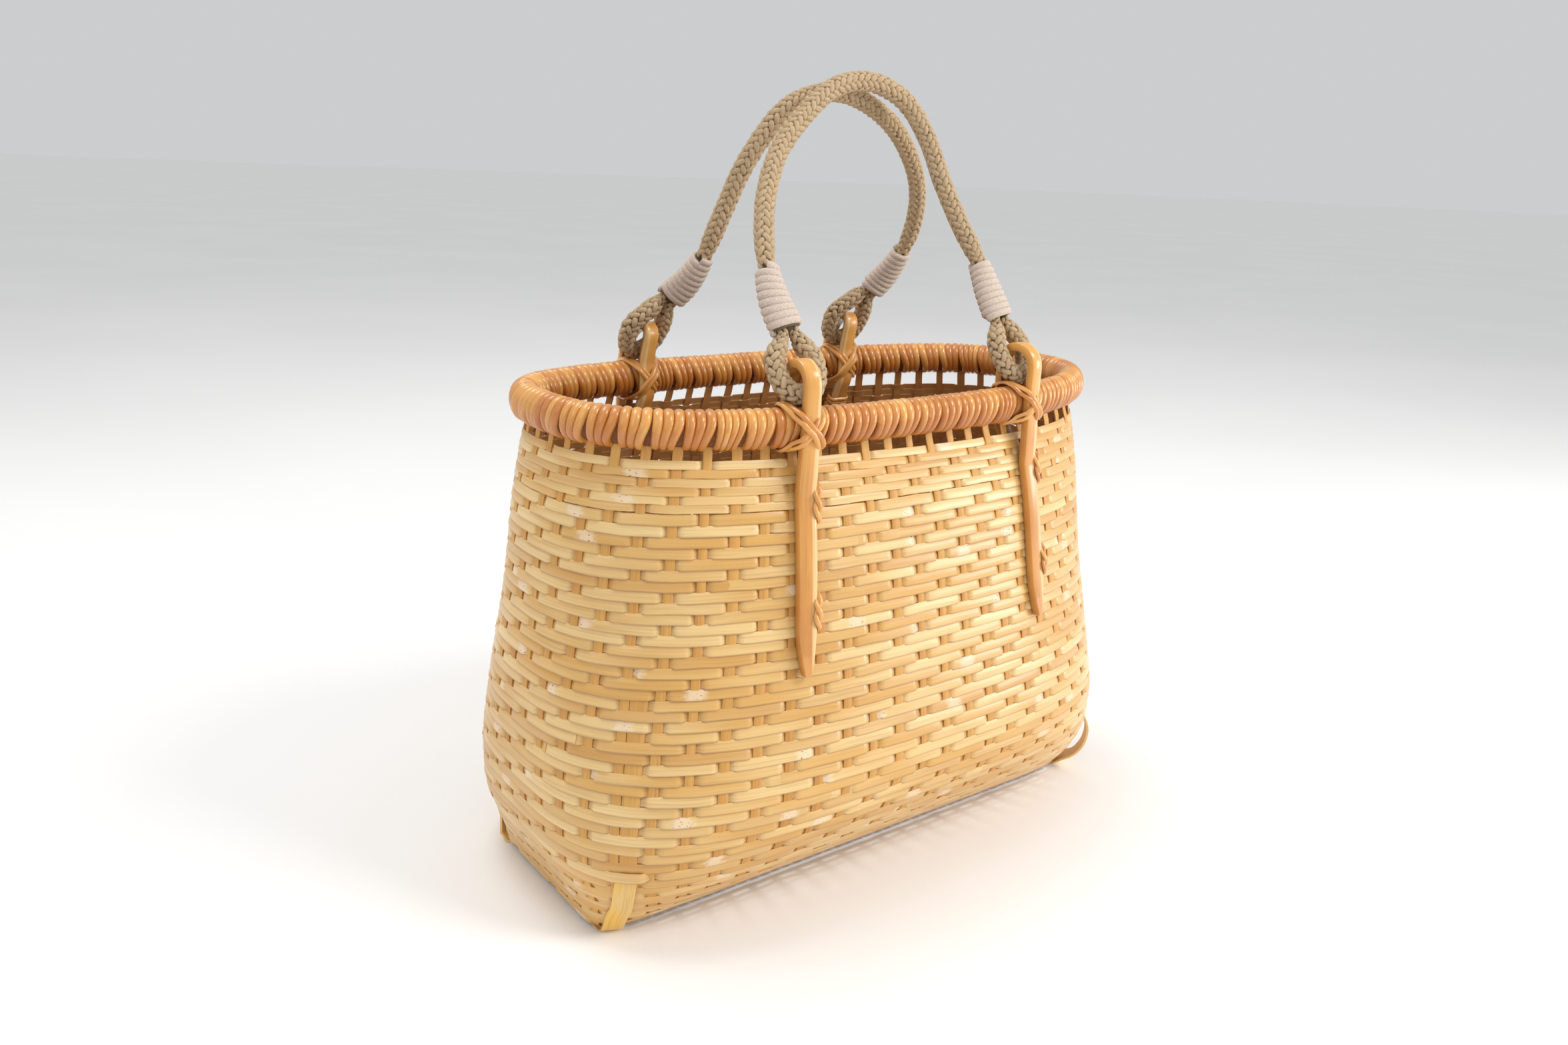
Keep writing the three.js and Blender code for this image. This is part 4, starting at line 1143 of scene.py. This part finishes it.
class Curve:
    """A smooth curve through points, read by the distance along it."""

    def __init__(self, points):
        self.fine = spline(points, 1600)
        steps = np.linalg.norm(np.diff(self.fine, axis=0), axis=1)
        self.run = np.concatenate([[0], np.cumsum(steps)])
        self.length = float(self.run[-1])

    def at(self, distance):
        distance = np.clip(distance, 0, self.length)
        return np.stack([np.interp(distance, self.run, self.fine[:, axis]) for axis in range(3)], axis=-1)

    def way(self, distance):
        near = 0.6 * MM
        return unit(self.at(distance + near) - self.at(distance - near))


class Handle:
    """A handle's middle line above its eyes, and the hooks that hold it."""

    def __init__(self, table, left, right):
        start = eye_foot(left)
        scale = np.array([HOOK_HALF_SPACING, start[1], HANDLE_RISE])
        shares = np.array([[row["across"], row["lean"], row["rise"]] for row in table])
        self.curve = Curve(shares * scale + UP * start[2])
        self.left, self.right = left, right

    def station(self, distance, from_right=False):
        """Points of the line at distances from a neck, with the way on and the axes across."""
        distance = np.asarray(distance, float)
        at = self.curve.length - distance if from_right else distance
        forward = self.curve.way(at) * (-1 if from_right else 1)
        side = unit(np.cross(forward, [0, 1, 0]))
        return self.curve.at(at), forward, side, np.cross(side, forward)


def eye_foot(hook):
    return hook.leaning(0, 0, RIM_TOP + GAP + ROPE_RADIUS)


WHIPPING_WALL = 1 * MM
PACKED_RADIUS = WHIPPING_TOP / 2 - WHIPPING_WALL - GAP
LIMB_RADIUS = (WHIPPING_FOOT / 2 - WHIPPING_WALL - GAP) / 2 - GAP
LIMB_OFFSET = LIMB_RADIUS * 0.88
LIMB_TUCK = WHIPPING_LENGTH * 0.15

# The braid's stitches: how many columns go round the rope, how far they lean, their half length
# as a share of the pitch, their half width and half height, how deep their middles lie, and how
# deep the dark core, painted shade for the gaps between stitches, lies under the rope's outside.
ROPE_COLUMNS = 8
STITCH_LEAN = math.radians(33)
STITCH_REACH = 0.76
STITCH_HALF_WIDTH = 1.65 * MM
STITCH_HALF_HEIGHT = 1.6 * MM
STITCH_DEPTH = 1.5 * MM
CORE_DEPTH = 1.2 * MM


def packed(radius, length, end):
    """The rope's radius at distances from its end, where a whipping packs it to a smaller one."""
    return radius + (ROPE_RADIUS - radius) * smooth(length, length + 2 * ROPE_RADIUS, end)

def braid(piece, core, route, radii, hidden, rng):
    """Stitches of the braid over a rope's core. The route has two steps to a stitch."""
    pitch = sizes().stitch_length
    for column in range(ROPE_COLUMNS):
        hand = 1 if column % 2 else -1
        for step in range(column % 2, len(route.points), 2):
            if hidden[step]:
                continue
            angle = 2 * math.pi * (column + 0.5) / ROPE_COLUMNS + rng.uniform(-0.04, 0.04)
            side, face = route.sides[step], route.faces[step]
            forward = np.cross(face, side)
            out = side * math.cos(angle) + face * math.sin(angle)
            round_way = np.cross(forward, out)
            radius = radii[step]
            along = unit(forward * math.cos(STITCH_LEAN) + round_way * math.sin(STITCH_LEAN) * hand)
            across = np.cross(out, along)
            size = radius / ROPE_RADIUS * rng.uniform(0.93, 1.07)
            shift = forward * rng.uniform(-0.2, 0.2) * MM
            place = route.points[step] + out * (radius - STITCH_DEPTH) + shift
            half_axes = (along * pitch * STITCH_REACH * size, across * STITCH_HALF_WIDTH * size,
                         out * STITCH_HALF_HEIGHT * size)
            piece.grain(place, *half_axes, rng.random())
    # The dark core is painted shade that shows between the stitches.
    inner = radii - CORE_DEPTH
    core.sleeve(route, tapered(round_section(1, 1, 10), inner, inner), {"tone": 0.5})


class BraidHandles(bpy.types.Operator):
    """Braids the two rope handles with the eyes that hang in the hooks"""

    bl_idname = "basket.handles"
    bl_label = "Rope handles"

    def execute(self, context):
        hooks = hook_places(Wall())
        rope, dark = rope_finish(), core_shade_finish("rope core shade")
        for name, table in (("front", FRONT_ROUTE), ("back", BACK_ROUTE)):
            rng = random.Random("rope " + name)
            handle = Handle(table, hooks[name + "_left"], hooks[name + "_right"])
            piece, core = Piece("braid_" + name), Piece("rope_core_" + name)
            step = sizes().stitch_length / 2
            distance = np.arange(GAP, handle.curve.length - GAP, step)
            end = np.minimum(distance, handle.curve.length - distance)
            radii = packed(PACKED_RADIUS, WHIPPING_LENGTH, end)
            points, _, side, face = handle.station(distance)
            route = Route(points, side, face)
            braid(piece, core, route, radii, end < WHIPPING_LENGTH - 2 * MM, rng)
            for hook, from_right in ((handle.left, False), (handle.right, True)):
                route, radii, hidden = self.eye(handle, hook, from_right, step)
                braid(piece, core, route, radii, hidden, rng)
            piece.finish(rope, "rope", ("handle_rope_" + name,), sharp=180)
            core.finish(dark, "rope", ("handle_rope_" + name,))
        return {"FINISHED"}

    def eye(self, handle, hook, from_right, step):
        """The route, radii and hidden steps of one eye."""
        foot = eye_foot(hook)
        neck, _, neck_side, neck_face = (value[0] for value in handle.station([0.0], from_right))
        inside, _, inside_side, _ = (value[0] for value in handle.station([LIMB_TUCK], from_right))
        stand = neck - foot
        follow = stand.dot(hook.along)
        rise = stand - hook.along * follow
        half = HOOK_WIDTH * ARCH_SHARE / 2 + 2 * GAP + ROPE_RADIUS
        handed = math.copysign(1, neck_side.dot(hook.along))

        def limb(way):
            rows = [foot + hook.along * (way * half * row["out"] + follow * row["follow"]) + rise * row["up"]
                    for row in EYE_LIMB]
            rows.append(neck + neck_side * way * handed * LIMB_OFFSET)
            rows.append(inside + inside_side * way * handed * LIMB_OFFSET)
            return rows

        curve = Curve([*limb(-1)[::-1], *limb(1)[1:]])
        distance = np.arange(0, curve.length, step)
        points = curve.at(distance)
        forward = curve.way(distance)
        side = unit(np.cross(forward, neck_face))
        end = np.minimum(distance, curve.length - distance)
        route = Route(points, side, np.cross(side, forward))
        return route, packed(LIMB_RADIUS, LIMB_TUCK, end), end < LIMB_TUCK - 1 * MM


class WindWhippings(bpy.types.Operator):
    """Winds the cord round the neck of each eye"""

    bl_idname = "basket.whippings"
    bl_label = "Whippings"

    def execute(self, context):
        hooks = hook_places(Wall())
        finish = whipping_finish()
        cord = sizes().whipping_cord
        for name, table in (("front", FRONT_ROUTE), ("back", BACK_ROUTE)):
            handle = Handle(table, hooks[name + "_left"], hooks[name + "_right"])
            for end, from_right in (("left", False), ("right", True)):
                rng = random.Random("whipping " + name + end)
                turns = WHIPPING_LENGTH / cord
                share = np.linspace(0, 1, int(turns * 26))
                distance = share * (WHIPPING_LENGTH - cord) + cord / 2
                point, _, side, face = handle.station(distance, from_right)
                belly = 0.9 * MM * np.sin(math.pi * np.clip(share * 1.05, 0, 1)) ** 0.8
                wide = (WHIPPING_FOOT + (WHIPPING_TOP - WHIPPING_FOOT) * share) / 2 - 1.25 * MM + belly
                deep = (WHIPPING_TOP + 2 * GAP * (1 - share)) / 2 - 1.25 * MM
                turn = 2 * math.pi * turns * share * (-1 if from_right else 1)
                wobble = waves(rng, share, (3, 7, 11), 0.14 * MM)
                c, s = np.cos(turn)[:, None], np.sin(turn)[:, None]
                out = side * c * (wide + wobble)[:, None] + face * s * (deep + wobble)[:, None]
                route = Route.facing(point + out, unit(side * c / wide[:, None] + face * s / deep[:, None]))
                piece = Piece(f"wound_cord_{name}_{end}")
                section = round_section(cord * 0.53, 1.3 * MM, 8)
                piece.sleeve(route, section, {"tone": rng.random()})
                inner = [distance, wide - 0.2 * MM, deep - 0.2 * MM]
                self.core(piece, handle, from_right, inner)
                piece.finish(finish, "cord", (f"whipping_{name}_{end}",), sharp=180)
        return {"FINISHED"}

    def core(self, piece, handle, from_right, inner):
        """A dark sleeve inside a whipping: painted shade that shows between its turns."""
        distance, wide, deep = (values[::20] for values in inner)
        point, _, side, face = handle.station(distance, from_right)
        ring = tapered(round_section(1, 1, 14), wide, deep)
        piece.sleeve(Route(point, side, face), ring, {"tone": 0.0, "dip": 1})


def wall_spot(wall, on, share, height):
    """A point of the wall, the way along its outline and the way out, where a strip lies."""
    def at(share_at, height_at):
        wide, deep, square, _ = wall.outline(max(height_at, BASE_LIFT))
        rest = (1 - share_at ** square) ** (1 / square)
        x, y = (share_at, rest) if on == "side" else (rest, share_at)
        return np.array([x * wide, y * deep, height_at])
    along = unit(at(share + 0.01, height) - at(share - 0.01, height))
    up = unit(at(share, height + 1 * MM) - at(share, height))
    out = unit(np.cross(along, up))
    point = at(share, height)
    return point, along, out * math.copysign(1, out.dot(point))


def strip_half(wall, on, over, bow):
    """One half of a base strip, from its top end on the wall to the middle of the base."""
    middle = STRIP_THICKNESS / 2
    foot_share, top_share = STRIP_ON[on]
    foot, foot_along, foot_out = wall_spot(wall, on, foot_share, BASE_LIFT)
    inward = -unit(foot_out * (1, 1, 0))
    rows = []
    for share in np.linspace(1, 0, 20):
        height = BASE_LIFT + STRIP_THICKNESS + (STRIP_RISE - BASE_LIFT - STRIP_THICKNESS) * share
        point, along, out = wall_spot(wall, on, foot_share + (top_share - foot_share) * share, height)
        tuck = 1.9 * MM * smooth(0.72, 1, share)
        off = GAP + middle + bow * math.sin(math.pi * share) - tuck
        rows.append((point + out * off, along))
    fold = foot + inward * middle
    fold[2] = middle
    inner = fold + inward * STRIP_FOLD
    straight = unit(inner * (1, 1, 0))
    flat = STRIP_WIDTH / math.sin(2 * math.atan2(inner[1], inner[0]))
    across = np.array([-straight[1], straight[0], 0])
    rows += [(fold, foot_along), (inner, foot_along)]
    for distance, lift in ((np.linalg.norm(inner[:2]) * 0.9, 0), (1.7 * flat, 0), (flat, over)):
        rows.append((straight * distance + UP * (middle + lift), across))
    return rows


class LayBaseStrips(bpy.types.Operator):
    """Lays the two broad strips that cross under the base and climb the corners"""

    bl_idname = "basket.base_strips"
    bl_label = "Base strips"

    def execute(self, context):
        wall = Wall()
        rng = random.Random(59)
        finish = strip_finish()
        for strip in BASE_STRIPS:
            rows = []
            for sign, bow in zip((1, -1), strip["bows"]):
                flip = (sign, sign * strip["turn"], 1)
                half = [(p * flip, s * flip) for p, s in strip_half(wall, strip["on"], strip["over"], bow)]
                rows = half if not rows else rows + [(p, -s) for p, s in half[::-1]]
            points = np.array([point for point, _ in rows])
            sides = [unit(rows[0][1] * (1, 1, 0))]
            for _, side in rows[1:]:
                level = unit(side * (1, 1, 0))
                sides.append(level * math.copysign(1, level.dot(sides[0])))
            piece = Piece("broad_strip_" + strip["name"])
            thin = 1 - 0.55 * smooth(STRIP_RISE * 0.7, STRIP_RISE, points[:, 2])
            section = tapered(split_section(STRIP_WIDTH, STRIP_THICKNESS, crown=0.05), 1, thin)
            piece.sleeve(Route.lying(points, np.array(sides)), section, {"tone": rng.random()})
            piece.finish(finish, "strip", ("base_strip_" + strip["name"],))
        return {"FINISHED"}


def fibres(finish, tone, fine=1.0):
    """Streaks that run along a split cane, in 0 to 1."""
    broad = finish.noise(finish.uv(14, 900 * fine), 3.0, 0.6, tone * 40)
    thin = finish.noise(finish.uv(60, 4200 * fine), 2.0, 0.5, tone * 70)
    return broad * 0.6 + thin * 0.4


def weaver_finish():
    finish = Finish("weaver bamboo")
    tone, dip, back = (finish.mark(name) for name in Piece.MARKS)
    streak = fibres(finish, tone)
    cloud = finish.noise(finish.uv(9, 30), seed=tone * 90)
    along, across, _ = finish.split(finish.uv())
    finish.base = finish.mix(cloud.ramp(0.35, 0.68), rgba(colours().weaver), rgba(colours().weaver_pale))
    finish.tint(tone.ramp(0.55, 1.0) * 0.3, colours().weaver_warm)
    # Painted shade: weavers darken where they dive under a stake or a crossing strip.
    finish.tint(dip.ramp(0.2, 1.0) * 0.4, colours().weaver_warm, 0.8)
    finish.tint(streak.ramp(0.58, 0.3) * 0.34, colours().weaver_warm, 0.62)
    finish.tint(streak.ramp(0.6, 0.78) * 0.5, colours().weaver_pale, 1.1)
    joint = ((along * 3.1 + tone * 13.7).fraction() - 0.5).absolute()
    ragged = finish.noise(finish.uv(220, 700), 3.0, 0.6, tone * 50)
    scar = (joint + (ragged - 0.5) * 0.03).ramp(0.019, 0.006)
    finish.tint(scar * 0.6, colours().scar)
    speck = finish.noise(finish.uv(700, 1500), 1.0, 0.5, tone * 20)
    finish.tint(scar * speck.ramp(0.62, 0.74), colours().core)
    # Painted shade: a dark band along each weaver's lower edge, stronger where it dives, stands for the thin
    # shadow line between rows.
    edge = (across * -1.0).ramp(1.8 * MM, 2.35 * MM)
    finish.tint(edge * (dip.ramp(0.0, 0.8) * 0.5 + 0.4), colours().weaver_warm, 0.3)
    # The back faces take the inside colour: partly the bamboo's duller back, partly painted shade for the
    # basket's shaded inside.
    finish.tint(back * 0.8, colours().inside)
    rough = 0.40 + cloud * 0.12 + back * 0.22 + scar * 0.2 + streak * 0.1
    finish.bump(streak * 0.6 + scar * ragged * 0.9, 0.12 * MM, 0.7)
    finish.coat(0.6, 0.28)
    return finish.done(rough)


def stake_finish():
    finish = Finish("stake bamboo")
    tone, _, back = (finish.mark(name) for name in Piece.MARKS)
    streak = fibres(finish, tone)
    cloud = finish.noise(finish.uv(16, 40), seed=tone * 90)
    finish.base = finish.mix(cloud.ramp(0.35, 0.7), rgba(colours().stake), rgba(colours().weaver))
    finish.tint(tone.ramp(0.4, 1.0) * 0.5, colours().weaver_warm)
    finish.tint(streak.ramp(0.6, 0.3) * 0.45, colours().weaver_warm, 0.55)
    # Back faces: partly the bamboo's duller back, partly painted shade.
    finish.tint(back * 0.8, colours().inside)
    finish.bump(streak, 0.12 * MM, 0.7)
    return finish.done(0.45 + cloud * 0.15 + back * 0.2)


def strip_finish():
    finish = Finish("broad strip bamboo")
    tone, _, back = (finish.mark(name) for name in Piece.MARKS)
    streak = fibres(finish, tone, 0.7)
    cloud = finish.noise(finish.uv(25, 60), seed=tone * 90)
    finish.base = finish.mix(cloud.ramp(0.3, 0.7), rgba(colours().strip), rgba(colours().weaver_pale, 0.9))
    finish.tint(streak.ramp(0.55, 0.3) * 0.5, colours().weaver_warm, 0.8)
    finish.tint(back * 0.7, colours().weaver_pale, 1.1)
    finish.bump(streak, 0.15 * MM, 0.7)
    return finish.done(0.4 + cloud * 0.15)


def cane_finish(name, deep, pale):
    """Glossy split cane, paler at random, with painted light and shade: paler towards the top of each rim
    turn and darker towards its lower side.
    """
    finish = Finish(name)
    tone, dip, _ = (finish.mark(mark) for mark in Piece.MARKS)
    streak = fibres(finish, tone)
    cloud = finish.noise(finish.uv(40, 120), seed=tone * 90)
    # Paler at random, and less pale on the lower side of each turn as painted shade.
    finish.base = finish.mix((cloud * 0.5 + tone * 0.3 - dip * 0.15).ramp(0.1, 0.65), rgba(deep), rgba(pale))
    finish.tint(streak.ramp(0.55, 0.3) * 0.35, deep, 0.7)
    # Painted shade: the lower side of each rim turn darkens.
    finish.tint(dip * 0.4, deep, 0.7)
    finish.tint(cloud.ramp(0.64, 0.76) * 0.3, colours().scar)
    finish.bump(streak, 0.1 * MM, 0.6)
    finish.coat(0.7, 0.12)
    return finish.done(0.28 + cloud * 0.2)


def hook_finish():
    finish = Finish("hook bamboo")
    tone, arch, back = (finish.mark(mark) for mark in Piece.MARKS)
    streak = fibres(finish, tone, 0.6)
    cloud = finish.noise(finish.uv(30, 90), 3.0, 0.5, tone * 90)
    _, across, _ = finish.split(finish.uv())
    finish.base = finish.mix(cloud.ramp(0.3, 0.75) * 0.6, rgba(colours().hook), rgba(colours().rim_pale))
    # Painted light: the top of the hook's arch is paler, where light from above catches it.
    finish.tint(arch * 0.7, colours().rim_pale)
    # Pale strip along the rounded edge of the outside: partly the bamboo's cream skin, partly a painted
    # highlight.
    finish.tint(across.ramp(1.2 * MM, 2.0 * MM) * (1 - back) * 0.75, colours().weaver_pale)
    finish.tint(streak.ramp(0.55, 0.3) * 0.35, colours().hook, 0.6)
    # Back faces: partly the bamboo's duller back, partly painted shade.
    finish.tint(back * 0.6, colours().inside, 0.8)
    finish.bump(streak, 0.12 * MM, 0.7)
    finish.coat(0.6, 0.16)
    return finish.done(0.34 + cloud * 0.2)


def core_shade_finish(name):
    """Painted shade: a dark core that shows between the rim's turns and the braid's stitches, standing for
    the shade in those gaps.
    """
    finish = Finish(name)
    grit = finish.noise(finish.place(900), 3.0)
    colour = colours().rope_gap_shade if "rope" in name else colours().core
    finish.base = finish.mix(grit.ramp(0.3, 0.7), rgba(colour, 0.7), rgba(colour, 1.2))
    finish.bump(grit, 0.3 * MM, 0.6)
    return finish.done(0.75 + grit * 0.2)


def rope_finish():
    finish = Finish("rope fibre")
    tone = finish.mark("tone")
    strand = finish.noise(finish.uv(300, 4500), 3.0, 0.6, tone * 60)
    _, across, _ = finish.split(finish.uv())
    finish.base = finish.mix(strand.ramp(0.3, 0.7), rgba(colours().rope, 0.72), rgba(colours().rope, 1.04))
    finish.tint(tone.ramp(0.5, 1.0) * 0.25, colours().rope, 0.66)
    # Painted shade: each stitch darkens towards its edges, where it meets its neighbours.
    finish.tint(across.absolute().ramp(1.0 * MM, 1.6 * MM) * 0.9, colours().rope_gap_shade)
    finish.bump(strand, 0.25 * MM, 0.9)
    return finish.done(0.78 + strand * 0.15)


def whipping_finish():
    finish = Finish("whipping cord")
    dip = finish.mark("dip")
    along, across, _ = finish.split(finish.uv())
    ply = ((along * 620 + across * 900).fraction() - 0.5).absolute() * 2
    fluff = finish.noise(finish.uv(900, 2600), 3.0, 0.6)
    cord = colours().whipping
    finish.base = finish.mix(fluff.ramp(0.3, 0.75), rgba(cord, 0.8), rgba(cord, 1.2))
    # Painted shade: darker lines along the grooves between the cord's plies.
    finish.tint(ply.ramp(0.35, 0.0) * 0.35, colours().whipping, 0.5)
    # Painted shade: the whipping's core, marked by dip, takes the dark gap colour.
    finish.tint(dip * 0.9, colours().rope_gap_shade)
    finish.bump(ply * 0.5 + fluff * 0.5, 0.25 * MM, 0.8)
    return finish.done(0.85 + fluff * 0.1)


def floor_finish():
    finish = Finish("pale floor")
    cloud = finish.noise(finish.place(2), 3.0)
    finish.base = finish.mix(cloud.ramp(0.3, 0.7), rgba(colours().floor, 0.97), rgba(colours().floor))
    return finish.done(0.6 + cloud * 0.1)


# Soft boxes: where each one stands, how wide it is and how bright, in metres and watts.
SOFT_BOXES = [
    {"name": "key", "place": (0.7, -1.1, 1.4), "size": 0.5, "power": 11},
    {"name": "sheen", "place": (1.25, -1.05, 0.4), "size": 0.5, "power": 9},
    {"name": "fill", "place": (-1.4, -0.5, 1.0), "size": 0.9, "power": 3},
    {"name": "top", "place": (-0.3, 0.4, 1.7), "size": 0.7, "power": 10},
]

# Where the lights point, and how far the floor reaches to each side.
LIGHT_AIM = (0, 0, 0.12)
FLOOR_REACH = 40

class SetStage(bpy.types.Operator):
    """Sets the camera at the photographed view, the pale floor and the soft light"""

    bl_idname = "basket.stage"
    bl_label = "Stage"

    def execute(self, context):
        scene = context.scene
        yaw, pitch, roll = (math.radians(VIEW[key]) for key in ("yaw", "pitch", "roll"))
        turned = Matrix.Rotation(-yaw, 4, "Z") @ Matrix.Rotation(math.pi / 2 - pitch, 4, "X")
        camera = bpy.data.objects.new("camera", bpy.data.cameras.new("camera"))
        camera.matrix_world = Matrix.Translation(VIEW["place"]) @ turned @ Matrix.Rotation(roll, 4, "Z")
        camera.data.angle = math.radians(VIEW["span"])
        camera.data.clip_start = 0.01
        scene.collection.objects.link(camera)
        scene.camera = camera
        mesh = bmesh.new()
        bmesh.ops.create_grid(mesh, x_segments=1, y_segments=1, size=FLOOR_REACH)
        floor = bpy.data.objects.new("floor", bpy.data.meshes.new("floor"))
        mesh.to_mesh(floor.data)
        mesh.free()
        floor.data.materials.append(floor_finish())
        scene.collection.objects.link(floor)
        for row in SOFT_BOXES:
            light = bpy.data.objects.new(row["name"], bpy.data.lights.new(row["name"], "AREA"))
            light.data.size, light.data.energy = row["size"], row["power"]
            aim = Vector(LIGHT_AIM) - Vector(row["place"])
            turned = aim.to_track_quat("-Z", "Y").to_matrix().to_4x4()
            light.matrix_world = Matrix.Translation(row["place"]) @ turned
            scene.collection.objects.link(light)
        scene.world = bpy.data.worlds.new("pale room")
        scene.world.use_nodes = True
        sky = scene.world.node_tree.nodes["Background"]
        sky.inputs["Color"].default_value = (0.97, 0.985, 1, 1)
        sky.inputs["Strength"].default_value = 0.62
        scene.view_settings.view_transform = "Standard"
        return {"FINISHED"}


STEPS = (SetStage, WeaveBody, WindRim, BendHooks, TieHooks, BraidHandles, WindWhippings, LayBaseStrips)


class BasketPanel(bpy.types.Panel):
    """Lists the steps that make the basket, with its sizes and colours"""

    bl_idname = "VIEW3D_PT_basket"
    bl_label = "Basket"
    bl_space_type = "VIEW_3D"
    bl_region_type = "UI"
    bl_category = "Basket"

    def draw(self, context):
        for step in STEPS:
            self.layout.operator(step.bl_idname)
        for group in (context.scene.basket_sizes, context.scene.basket_colours):
            for name in group.bl_rna.properties.keys():
                if name not in ("rna_type", "name"):
                    self.layout.prop(group, name)


CLASSES = (BasketSizes, BasketColours, *STEPS, BasketPanel)


def register():
    for cls in CLASSES:
        bpy.utils.register_class(cls)
    bpy.types.Scene.basket_sizes = bpy.props.PointerProperty(type=BasketSizes)
    bpy.types.Scene.basket_colours = bpy.props.PointerProperty(type=BasketColours)


def unregister():
    del bpy.types.Scene.basket_sizes
    del bpy.types.Scene.basket_colours
    for cls in reversed(CLASSES):
        bpy.utils.unregister_class(cls)


def main():
    register()
    bpy.ops.basket.stage()
    bpy.ops.basket.body()
    bpy.ops.basket.rim()
    bpy.ops.basket.hooks()
    bpy.ops.basket.ties()
    bpy.ops.basket.handles()
    bpy.ops.basket.whippings()
    bpy.ops.basket.base_strips()


if __name__ == "__main__":
    main()
